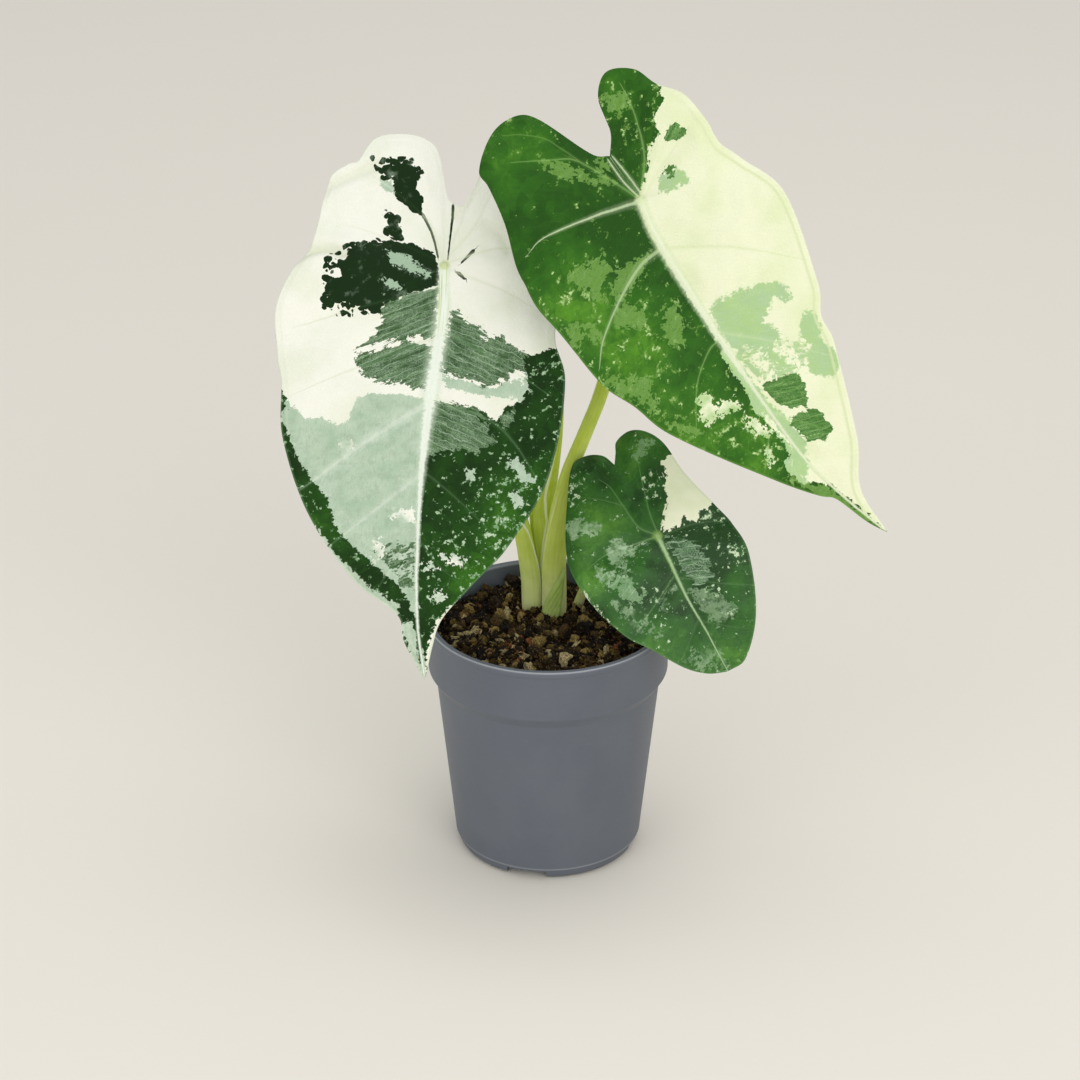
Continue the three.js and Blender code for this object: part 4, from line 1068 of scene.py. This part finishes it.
def stalkMaterial(name, low, middle, high, lip):
    tint = colours(stalkTints)
    graph = Graph(name)
    around = graph.field("around")
    rise = graph.field("rise")
    height = graph.field("height")
    lines = graph.joined(around, rise * 0.06, 0)
    spots = graph.joined(around, rise, 0)
    streak = graph.noise(lines, 1.9, 3, 0.6)
    cloud = graph.noise(spots, 0.16, 3)
    base = graph.mix(height.step(56, 78), colour(low), colour(middle))
    base = graph.mix(height.step(88, 150), base, colour(high))
    base = graph.mix((streak - 0.4) * 1.3, base, graph.mix(0.5, base, tint["streak"]))
    base = graph.mix((cloud - 0.45) * 1.6, base, graph.mix(0.5, base, tint["cloud"]))
    base = graph.mix(graph.field("lip").step(0.12, 0.6) * 0.85, base, colour(lip))
    specks = graph.noise(spots, 2.6, 3, 0.7).step(0.7, 0.78)
    base = graph.mix(specks * 0.3, base, tint["speck"])
    grain = streak * 0.8 + graph.noise(spots, 3.5, 2) * 0.2
    return graph.finish(
        base=base, roughness=0.36 + cloud * 0.15, normal=graph.bump(grain, 0.5, 0.15), specular=0.4,
        subsurface=0.25, subsurfaceScale=0.0015, subsurfaceRadius=(0.8, 1, 0.35),
    )


# Angles in degrees round the right stalk.
sheath = {
    "thickness": 0.7, "gap": 0.4, "top": 71, "tip": -40, "left": -176, "right": -88,
    "leanFrom": 0.2, "leftLean": 1.4, "rightLean": 0.8, "tipWidth": 5, "radius": 3.6,
    "rows": 110, "columns": 60,
    "tints": {
        "foot": "#d3de92", "top": "#aac65c", "streak": "#c4d67e", "cloud": "#82a648", "edge": "#d3d8a0",
    },
}


# A strip of the right stalk's ellipse, moved out from it, over a range of angles that narrows upwards:
# the left edge stays upright and then leans to the tip, and the right edge leans all the way.
def sheathPiece(name):
    rows, columns = sheath["rows"], sheath["columns"]
    stations = np.array(rightPetiole["stations"], float)
    rise = np.linspace(0, 1, rows)[:, None]
    share = np.linspace(0, 1, columns)[None, :]
    leaning = np.clip((rise - sheath["leanFrom"]) / (1 - sheath["leanFrom"]), 0, 1)
    half = sheath["tipWidth"] / 2
    left = sheath["left"] + (sheath["tip"] - half - sheath["left"]) * leaning ** sheath["leftLean"]
    right = sheath["right"] + (sheath["tip"] + half - sheath["right"]) * rise ** sheath["rightLean"]
    angle = np.radians(left + (right - left) * share)
    z = stemFoot + (sheath["top"] - stemFoot) * np.repeat(rise, columns, axis=1)
    path = spline(stations[:, 2], stations, z.ravel())
    arc = np.radians(right - left) * sheath["radius"]
    edgeGap = np.minimum(share, 1 - share) * arc + 0.02
    thin = np.clip(edgeGap / 0.8, 0.3, 1)
    flutes = 0.04 * np.sin(share * arc * 7) * np.clip(edgeGap, 0, 1)
    points = []
    for out in (np.full_like(z, sheath["gap"] + 0.08), sheath["gap"] + sheath["thickness"] * thin + flutes):
        wide = path[:, 3].reshape(z.shape) + out
        deep = path[:, 4].reshape(z.shape) + out
        x = path[:, 0].reshape(z.shape) + wide * np.cos(angle)
        y = path[:, 1].reshape(z.shape) + deep * np.sin(angle)
        points.append(np.stack([x, y, z], axis=-1).reshape(-1, 3))
    size = rows * columns
    outer = gridFaces(rows, columns, first=size)
    inner = gridFaces(rows, columns)[:, ::-1]
    loop = np.concatenate([
        np.arange(columns), np.arange(2 * columns - 1, size, columns),
        np.arange(size - 2, size - columns - 1, -1), np.arange(size - 2 * columns, 0, -columns)])
    following = np.roll(loop, -1)
    edge = np.stack([loop, following, following + size, loop + size], axis=1)
    faces = np.concatenate([outer, inner, edge]).tolist()
    fields = {
        "around": np.tile((angle * sheath["radius"]).ravel(), 2),
        "rise": np.tile((z - stemFoot).ravel(), 2),
        "edgeGap": np.tile(np.broadcast_to(edgeGap, z.shape).ravel(), 2),
    }
    return makePiece(name, np.concatenate(points), faces, fields=fields)


def sheathMaterial():
    tint = colours(sheath["tints"])
    graph = Graph("sheath skin")
    around = graph.field("around")
    rise = graph.field("rise")
    lines = graph.joined(around, rise * 0.08, 0)
    spots = graph.joined(around, rise, 0)
    streak = graph.noise(lines, 2.2, 3, 0.6)
    cloud = graph.noise(spots, 0.3, 3)
    base = graph.mix(rise.step(3, 16), tint["foot"], tint["top"])
    base = graph.mix((streak - 0.4) * 1.3, base, tint["streak"])
    base = graph.mix((cloud - 0.48) * 2, base, tint["cloud"])
    base = graph.mix(graph.field("edgeGap").step(0.35, 0.05) * 0.6, base, tint["edge"])
    return graph.finish(
        base=base, roughness=0.5 + cloud * 0.1, normal=graph.bump(streak, 0.6, 0.15), specular=0.4,
    )


# The pot.

# A profile of (radius, height) turned round the z axis, and closed with a flat face at both ends.
def turned(profile, sides):
    angle = np.linspace(0, 2 * np.pi, sides, endpoint=False)
    radius, height = np.array(profile, float).T
    points = np.stack([
        radius[:, None] * np.cos(angle), radius[:, None] * np.sin(angle),
        np.repeat(height[:, None], sides, axis=1)], axis=-1).reshape(-1, 3)
    faces = gridFaces(len(profile), sides, closed=True).tolist()
    faces.append(list(range(sides))[::-1])
    last = (len(profile) - 1) * sides
    faces.append(list(range(last, last + sides)))
    return points, faces


# Rounds the corners of a profile: each becomes a quadratic curve that starts this far before it.
def rounded(profile, reach, steps=4):
    rows = np.array(profile, float)
    smooth = [rows[0]]
    for before, corner, after in zip(rows, rows[1:], rows[2:]):
        into, out = before - corner, after - corner
        cut = min(reach, np.linalg.norm(into) * 0.45, np.linalg.norm(out) * 0.45)
        start = corner + into / np.linalg.norm(into) * cut
        end = corner + out / np.linalg.norm(out) * cut
        for t in np.linspace(0, 1, steps):
            smooth.append((1 - t) ** 2 * start + 2 * t * (1 - t) * corner + t**2 * end)
    smooth.append(rows[-1])
    return [tuple(row) for row in smooth]


# The profile from the foot up the outside, over the lip and down the inside, less the drain cutters.
def potPiece(name):
    height, lip, collar = pot["height"], pot["lipRadius"], pot["collarRadius"]
    shoulder, foot, wall = pot["shoulderRadius"], pot["footRadius"], pot["wall"]
    step, top, floor = pot["collarBottom"], pot["shoulderHeight"], pot["floorTop"]
    profile = [
        (foot - 2, 0), (foot - 0.8, 0), (foot - 0.2, 0.3), (foot + 0.3, 1.1), (foot + 0.6, 2.4),
        (foot + 0.95, 2.75), (foot + 1, 3.3), (foot + 1.15, 5),
        (shoulder - 0.1, top - 0.6), (shoulder + 0.3, top), (collar - 0.5, step - 0.6), (collar, step),
        (collar + 0.1, height - 1.9), (lip, height - 1.5), (lip, height - 0.3), (lip - 0.4, height),
        (collar - wall + 0.3, height), (collar - wall, height - 0.35), (collar - wall, step + 0.7),
        (shoulder - wall - 0.1, top - 0.2), (foot - 0.4, floor + 0.5), (foot - 1, floor), (foot - 3, floor),
    ]
    points, faces = turned(rounded(profile, pot["rounding"]), pot["sides"])
    solid = makePiece(name, points, faces)
    cutters = []
    for i in range(drainChannel["count"]):
        angle = math.radians(drainChannel["turn"]) + 2 * math.pi * i / drainChannel["count"]
        cutters.append(channelCutter(angle))
        cutters.append(holeCutter(angle))
    for cutter in cutters:
        modifier = solid.modifiers.new("cut", "BOOLEAN")
        modifier.operation = "DIFFERENCE"
        modifier.solver = "EXACT"
        modifier.object = cutter
    bpy.context.view_layer.update()
    shown = solid.evaluated_get(bpy.context.evaluated_depsgraph_get())
    mesh = bpy.data.meshes.new_from_object(shown)
    solid.modifiers.clear()
    solid.data = mesh
    for cutter in cutters:
        bpy.data.objects.remove(cutter)
    mesh.polygons.foreach_set("use_smooth", np.ones(len(mesh.polygons), bool))
    mesh.set_sharp_from_angle(angle=math.radians(pot["sharpAngle"]))
    return solid


def boxPoints(low, high):
    corners = np.array(list(itertools.product(*zip(low, high))))
    faces = [[0, 1, 3, 2], [4, 6, 7, 5], [0, 4, 5, 1], [2, 3, 7, 6], [0, 2, 6, 4], [1, 5, 7, 3]]
    return corners, faces


def turnedAbout(points, angle):
    x, y, z = points.T
    cosine, sine = math.cos(angle), math.sin(angle)
    return np.stack([x * cosine - y * sine, x * sine + y * cosine, z], axis=1)


def channelCutter(angle):
    half, depth = drainChannel["width"] / 2, drainChannel["depth"]
    corners, faces = boxPoints((drainChannel["start"], -half, -depth), (pot["lipRadius"], half, depth))
    return makePiece("channel cutter", turnedAbout(corners, angle), faces)


def holeCutter(angle):
    profile = [(drainHole["radius"], drainHole["from"]), (drainHole["radius"], drainHole["to"])]
    points, faces = turned(profile, drainHole["sides"])
    return makePiece("hole cutter", turnedAbout(points + [drainHole["at"], 0, 0], angle), faces)


# The "edge" tint is the colour of the painted highlights on the lip's edges and on the foot's step.
potTints = {
    "plain": "#5e646e", "cloud": "#646a73", "scuff": "#8b8e94", "dusty": "#5d5850", "edge": "#b4b7bc",
}


def potMaterial():
    tint = colours(potTints)
    graph = Graph("grey plastic")
    place = graph.place()
    cloud = graph.noise(place, 0.06, 4, 0.6)
    grain = graph.noise(place, 5, 3, 0.6)
    scuff = graph.noise(place.scaled(0.5, 0.5, 2.4), 0.5, 4, 0.7)
    height = graph.part(place, "Z")
    base = graph.mix(cloud.step(0.3, 0.7), tint["plain"], tint["cloud"])
    base = graph.mix(scuff.step(0.62, 0.78) * 0.16, base, tint["scuff"])
    dusty = graph.noise(place, 0.35, 4, 0.7).step(0.55, 0.8)
    base = graph.mix(dusty * 0.14, base, tint["dusty"])

    # Painted highlights: thin light lines on both edges of the lip, and on the step above the foot.
    radius = graph.length(place.scaled(1, 1, 0))
    onLip = height.step(pot["height"] - 0.9, pot["height"] - 0.5)
    outerLipHighlight = abs(radius - (pot["lipRadius"] - 0.2)).step(0.22, 0.06) * onLip
    innerLipHighlight = abs(radius - (pot["collarRadius"] - pot["wall"] + 0.1)).step(0.2, 0.06) * onLip
    footHighlight = abs(height - 2.9).step(0.4, 0.1) * (0.3 + cloud * 0.6)
    edges = graph.largest(outerLipHighlight * 0.75, innerLipHighlight * 0.4)
    base = graph.mix(graph.largest(edges, footHighlight * 0.55), base, tint["edge"])
    rings = graph.noise(place.scaled(0.01, 0, 1), 1.4, 2)
    relief = grain * 0.6 + rings * 0.25 + scuff * 0.15
    return graph.finish(
        base=base, roughness=0.5 + (grain - 0.5) * 0.2 + (cloud - 0.5) * 0.15,
        normal=graph.bump(relief, 0.35, 0.12), specular=0.4,
    )


# The soil.

lumps = {"count": 130, "smallest": 1.6, "largest": 3.6, "tallest": 1.9, "seed": 20}
grit = {"count": 900, "smallest": 0.5, "largest": 1.5, "seed": 5}
crumbs = {"count": 2900, "smallest": 0.22, "spread": 1.45, "seed": 31, "rows": 6, "columns": 8}
threads = {"count": 170, "sides": 5, "steps": 9, "seed": 7}

# Where the stems leave the soil: x, y and radius.
stemFeet = [(-4.1, 13.7, 2.6), (1.6, 11.3, 3.4), (7.3, 14.9, 1.5), (0, 16.9, 2.2)]
soilTints = {"dark": "#0e0804", "light": "#2b1b0c", "chip": "#6d5530", "straw": "#7d6a3a", "bark": "#5a3a22"}
# Crumb tints: the first paints shade in small pits, and "fleck" paints small highlight specks.
crumbTints = {"pitShade": "#120a04", "fleck": "#b39b5e"}


# The same row of random numbers as in the plain soil.
def randomFrom(seed):
    state = seed
    while True:
        state = (state * 1664525 + 1013904223) % 4294967296
        yield state / 4294967296


# Height above soilLevel of the large lumps, the same ones as in the plain soil: the highest of many
# half balls, each squashed to its own height, levelled off at the pot's wall.
def lumpRelief(x, y):
    random = randomFrom(lumps["seed"])
    inner = pot["collarRadius"] - pot["wall"]
    highest = np.zeros(len(x))
    for _ in range(lumps["count"]):
        reach = inner * math.sqrt(next(random))
        angle = 2 * math.pi * next(random)
        size = lumps["smallest"] + (lumps["largest"] - lumps["smallest"]) * next(random)
        height = lumps["tallest"] * next(random)
        away = np.hypot(x - reach * math.cos(angle), y - reach * math.sin(angle)) / size
        highest = np.maximum(highest, height * np.sqrt(np.clip(1 - away**2, 0, 1)))
    edge = np.clip((inner - np.hypot(x, y) - 0.5) / 2.5, 0, 1)
    return highest * edge * edge * (3 - 2 * edge)


# Small crumbs pressed into the surface: the highest of many domes on turned ellipses.
def gritRelief(x, y):
    random = np.random.default_rng(grit["seed"])
    inner = pot["collarRadius"] - pot["wall"]
    highest = np.zeros(len(x))
    for _ in range(grit["count"]):
        reach = inner * math.sqrt(random.random())
        angle = 2 * math.pi * random.random()
        size = random.uniform(grit["smallest"], grit["largest"])
        stretch = random.uniform(0.6, 1.6)
        turn = random.uniform(0, math.pi)
        dx, dy = x - reach * math.cos(angle), y - reach * math.sin(angle)
        lengthways = (dx * math.cos(turn) + dy * math.sin(turn)) * stretch
        away = np.hypot(lengthways, dy * math.cos(turn) - dx * math.sin(turn)) / size
        highest = np.maximum(highest, size * 0.6 * np.clip(1 - away**2, 0, 1) ** 0.6)
    return highest


def soilHeight(x, y):
    points = np.stack([x, y], axis=1)
    return (soilLevel - 0.5 + 0.85 * lumpRelief(x, y) + gritRelief(x, y)
            + 0.3 * ripples(points, 1.5, 11) + 0.16 * ripples(points, 0.7, 12))


# Rings round the axis: up the inside of the pot, then inwards over the surface to the middle.
def soilPiece(name, rings=110, sides=300):
    outer = pot["collarRadius"] - pot["wall"] - 0.15
    radius = outer * np.linspace(1, 0.004, rings)
    angle = np.linspace(0, 2 * np.pi, sides, endpoint=False)
    x = (radius[:, None] * np.cos(angle)).ravel()
    y = (radius[:, None] * np.sin(angle)).ravel()
    top = np.stack([x, y, soilHeight(x, y)], axis=1)
    sideRows = [
        (pot["footRadius"] - 1.5, pot["floorTop"] + clearance),
        (pot["footRadius"] - 0.8, pot["floorTop"] + 0.8),
        (pot["shoulderRadius"] - pot["wall"] - 0.4, pot["shoulderHeight"] - 0.05),
        (outer - 0.15, pot["collarBottom"] + 0.85), (outer - 0.15, soilLevel - 1)]
    side = np.concatenate([np.stack([r * np.cos(angle), r * np.sin(angle), np.full(sides, z)], axis=1)
                           for r, z in sideRows])
    points = np.concatenate([side, top])
    faces = gridFaces(len(sideRows) + rings, sides, closed=True).tolist()
    faces.append(list(range(sides))[::-1])
    faces.append(list(range(len(points) - sides, len(points))))
    return makePiece(name, points, faces)


# One crumb: a ball of few faces, dented, squashed and turned.
def crumbShape(random, size):
    columns = crumbs["columns"]
    tilt = np.linspace(0, np.pi, crumbs["rows"])[1:-1]
    turn = np.linspace(0, 2 * np.pi, columns, endpoint=False)
    ring = np.stack([np.outer(np.sin(tilt), np.cos(turn)), np.outer(np.sin(tilt), np.sin(turn)),
                     np.outer(np.cos(tilt), np.ones(columns))], axis=-1).reshape(-1, 3)
    ball = np.concatenate([[[0, 0, 1]], ring, [[0, 0, -1]]])
    ball = ball * (1 + random.uniform(-0.42, 0.42, (len(ball), 1)))
    stretched = ball * random.uniform(0.4, 1.35, 3)
    spin, _ = np.linalg.qr(random.normal(size=(3, 3)))
    return (stretched * size) @ spin


def ballFaces():
    middle, columns = crumbs["rows"] - 2, crumbs["columns"]
    faces = [[0, 1 + k, 1 + (k + 1) % columns] for k in range(columns)]
    faces += gridFaces(middle, columns, closed=True, first=1)[:, ::-1].tolist()
    last = 1 + middle * columns
    low = last - columns
    faces += [[last, low + (k + 1) % columns, low + k] for k in range(columns)]
    return faces


# Loose crumbs, mostly small ones. Their kind, 0 to 1, picks a shade, and at the front more are pale.
def crumbsPiece(name):
    random = np.random.default_rng(crumbs["seed"])
    template = ballFaces()
    count = crumbs["count"]
    ball = 2 + (crumbs["rows"] - 2) * crumbs["columns"]
    inner = pot["collarRadius"] - pot["wall"] - 0.6
    reach = inner * np.sqrt(random.random(count))
    angle = 2 * np.pi * random.random(count)
    size = crumbs["smallest"] + crumbs["spread"] * random.random(count) ** 3.2
    x, y = (reach - size) * np.cos(angle), (reach - size) * np.sin(angle)
    height = soilHeight(x, y)
    points, faces, kinds = [], [], []
    for k in range(count):
        if any(math.hypot(x[k] - sx, y[k] - sy) < radius + size[k] for sx, sy, radius in stemFeet):
            continue
        centre = np.array([x[k], y[k], height[k] + size[k] * random.uniform(-0.1, 0.55)])
        start = len(points) * ball
        points.append(crumbShape(random, size[k]) + centre)
        faces += [[corner + start for corner in face] for face in template]
        kinds.append(np.full(ball, random.random() ** (1 if y[k] > -12 else 0.75)))
    fields = {"kind": np.concatenate(kinds)}
    return makePiece(name, np.concatenate(points), faces, fields=fields, smooth=False)


# Short root and coir threads: a small ring carried along a path that lies on the soil, whose heading
# turns by the same amount at each step. It arches up in the middle and thins towards its ends.
def threadsPiece(name):
    random = np.random.default_rng(threads["seed"])
    sides, steps = threads["sides"], threads["steps"]
    points, faces, kinds = [], [], []
    inner = pot["collarRadius"] - pot["wall"] - 3.5
    for _ in range(threads["count"]):
        reach = inner * math.sqrt(random.random())
        angle = random.uniform(0, 2 * math.pi)
        heading = random.uniform(0, 2 * math.pi)
        curl = random.uniform(-0.55, 0.55)
        length = random.uniform(2, 6) / steps
        x, y = [reach * math.cos(angle)], [reach * math.sin(angle)]
        for _ in range(steps - 1):
            heading += curl
            x.append(x[-1] + length * math.cos(heading))
            y.append(y[-1] + length * math.sin(heading))
        x, y = np.array(x), np.array(y)
        if np.hypot(x, y).max() > inner + 2:
            continue
        if any(np.hypot(x - sx, y - sy).min() < radius + 0.5 for sx, sy, radius in stemFeet):
            continue
        arch = np.sin(np.linspace(0, np.pi, steps)) * random.uniform(0.1, 0.9)
        z = soilHeight(x, y) + arch
        thick = random.uniform(0.09, 0.22) * np.sin(np.linspace(0.25, np.pi - 0.25, steps))
        path = np.stack([x, y, z], axis=1)
        tangent = unit(np.gradient(path, axis=0))
        sideways = unit(np.cross(tangent, [0, 0, 1]))
        upward = np.cross(sideways, tangent)
        turn = np.linspace(0, 2 * np.pi, sides, endpoint=False)
        ring = sideways[:, None] * np.cos(turn)[:, None] + upward[:, None] * np.sin(turn)[:, None]
        start = sum(len(block) for block in points)
        points.append((path[:, None] + ring * thick[:, None, None]).reshape(-1, 3))
        faces += (gridFaces(steps, sides, closed=True)[:, ::-1] + start).tolist()
        faces.append([start + k for k in range(sides)])
        faces.append([start + (steps - 1) * sides + k for k in range(sides)][::-1])
        kinds.append(np.full(steps * sides, random.random()))
    return makePiece(name, np.concatenate(points), faces, fields={"kind": np.concatenate(kinds)})


def soilMaterial():
    tint = colours(soilTints)
    graph = Graph("potting soil")
    place = graph.place()
    crumb = graph.cellValue(place, 0.9)
    small = graph.cellValue(place, 2.2)
    cloud = graph.noise(place, 0.25, 4)
    grain = graph.noise(place, 3, 4, 0.7)
    base = graph.mix(crumb, tint["dark"], tint["light"])
    base = graph.mix(small.step(0.78, 0.85) * 0.7, base, tint["chip"])
    base = graph.mix((crumb + grain * 0.4).step(1, 1.15) * 0.6, base, tint["straw"])
    base = graph.mix(cloud.step(0.55, 0.75) * 0.3, base, tint["bark"])
    relief = grain * 0.7 + graph.cells(place, 2.2, "Distance") * 0.6
    rough = 0.85 + grain * 0.1
    return graph.finish(base=base, roughness=rough, normal=graph.bump(relief, 0.8, 0.4), specular=0.1)


# A shade is (the kind from which on it holds, colour).
def crumbMaterial(name, shades):
    tint = colours(crumbTints)
    graph = Graph(name)
    place = graph.place()
    kind = graph.field("kind")
    grain = graph.noise(place, 2.5, 4, 0.7)
    base = colour(shades[0][1])
    for start, code in shades[1:]:
        base = graph.mix(kind.step(start - 0.01, start + 0.01), base, colour(code))
    # Painted shade: dark spots at random over each crumb, for the shade in small pits.
    base = graph.mix(grain.step(0.44, 0.56) * 0.75, base, graph.mix(0.85, base, tint["pitShade"]))
    # Painted highlights: small pale specks at random over each crumb.
    base = graph.mix(graph.noise(place, 1.7, 4, 0.7).step(0.6, 0.66) * 0.75, base, tint["fleck"])
    rough = 0.6 + grain * 0.3
    return graph.finish(base=base, roughness=rough, normal=graph.bump(grain, 1, 0.7), specular=0.2)


# Floor, light and camera.

ground = {"reach": 2500, "level": -0.4, "tints": {"dark": "#f4eee1", "light": "#f6f1e6"}}

# Name, place in metres, size in metres, power in watts, colour.
lights = [
    ("key", (0.4, -1.05, 0.72), 1.1, 5.6, (1, 0.985, 0.96)),
    ("fill", (-0.8, -0.9, 0.4), 1.1, 3.4, (0.99, 0.995, 1)),
    ("top", (0.1, 0.25, 1.35), 1.3, 4.4, (1, 1, 0.99)),
]
lightTarget = (0, 0, 0.09)
sky = {"colour": (0.96, 0.97, 1, 1), "strength": 0.52}


def addFloor():
    reach = ground["reach"]
    corners = [(x * reach, y * reach, ground["level"]) for x, y in ((-1, -1), (1, -1), (1, 1), (-1, 1))]
    floor = makePiece("floor", np.array(corners, float), [[0, 1, 2, 3]])
    tint = colours(ground["tints"])
    graph = Graph("floor")
    base = graph.mix(graph.noise(graph.place(), 0.004, 2), tint["dark"], tint["light"])
    floor.data.materials.append(graph.finish(base=base, roughness=0.9, specular=0.1))


def aimed(thing, place, target):
    thing.location = place
    thing.rotation_euler = (Vector(target) - Vector(place)).to_track_quat("-Z", "Y").to_euler()
    bpy.context.scene.collection.objects.link(thing)


def addLights():
    for name, place, size, power, tone in lights:
        data = bpy.data.lights.new(name, "AREA")
        data.shape = "DISK"
        data.size = size
        data.energy = power
        data.color = tone
        aimed(bpy.data.objects.new(name, data), place, lightTarget)
    world = bpy.data.worlds.new("studio")
    world.use_nodes = True
    background = world.node_tree.nodes["Background"]
    background.inputs["Color"].default_value = sky["colour"]
    background.inputs["Strength"].default_value = sky["strength"]
    bpy.context.scene.world = world
    bpy.context.scene.view_settings.view_transform = "Standard"


def addCamera():
    data = bpy.data.cameras.new("camera")
    data.sensor_width = sensorWidth
    data.lens = sensorWidth * view["focalPixels"] / view["imagePixels"]
    data.clip_start = 0.01
    data.clip_end = 20
    camera = bpy.data.objects.new("camera", data)
    rise = math.radians(view["elevation"])
    target = Vector(view["target"])
    place = target + Vector((0, -math.cos(rise), math.sin(rise))) * view["distance"]
    aimed(camera, place * mm, target * mm)
    bpy.context.scene.camera = camera


# Assembly.

def dress(piece, material, slot, *nodes):
    piece.data.materials.clear()
    piece.data.materials.append(material)
    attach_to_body(piece, "root")
    if nodes:
        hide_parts(*nodes)


addCamera()
addFloor()
addLights()
print("stage ready")

dress(potPiece("plastic_pot"), potMaterial(), "pot_plastic", "pot")
print("pot ready")

dress(soilPiece("soil_surface"), soilMaterial(), "soil", "soil")
crumbShades = [(0, "#150c05"), (0.38, "#32230f"), (0.58, "#57421d"), (0.73, "#7e6a34"), (0.84, "#ad9354"),
               (0.91, "#925a33"), (0.94, "#d8c591")]
dress(crumbsPiece("soil_crumbs"), crumbMaterial("soil crumb", crumbShades), "soil")
dress(threadsPiece("soil_threads"), crumbMaterial("soil thread", [(0, "#8a6f48"), (0.5, "#5d452b")]), "soil")
print("soil ready")

stalkSkin = stalkMaterial("petiole skin", low="#e2e8a2", middle="#cfe052", high="#c4da40", lip="#fbfbea")
shootSkin = stalkMaterial("new shoot skin", low="#cddb74", middle="#bccf38", high="#bed242", lip="#f6f8da")
for name, stem, skin, slot, node in [
    ("left_stalk", leftPetiole, stalkSkin, "stalk", "left_petiole"),
    ("right_stalk", rightPetiole, stalkSkin, "stalk", "right_petiole"),
    ("small_stalk", smallPetiole, stalkSkin, "stalk", "small_petiole"),
    ("rolled_shoot", newShoot, shootSkin, "shoot", "new_shoot"),
]:
    dress(stemPiece(name, stem), skin, slot, node)
dress(sheathPiece("foot_sheath"), sheathMaterial(), "sheath", "base_sheath")
print("stems ready")

for side, leaf, look, slot in [
    ("left", leftLeaf, leftLook, "blade_pale"),
    ("right", rightLeaf, rightLook, "blade_half"),
    ("small", smallLeaf, smallLook, "blade_dark"),
]:
    dress(bladePiece(side + "_leaf", leaf), leafMaterial(side + " leaf skin", look), slot, side + "_blade")
print("leaves ready")

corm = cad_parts["corm"]
corm.data.materials.clear()
corm.data.materials.append(crumbMaterial("corm skin", [(0, "#6b4a2a"), (0.5, "#5a3d24")]))
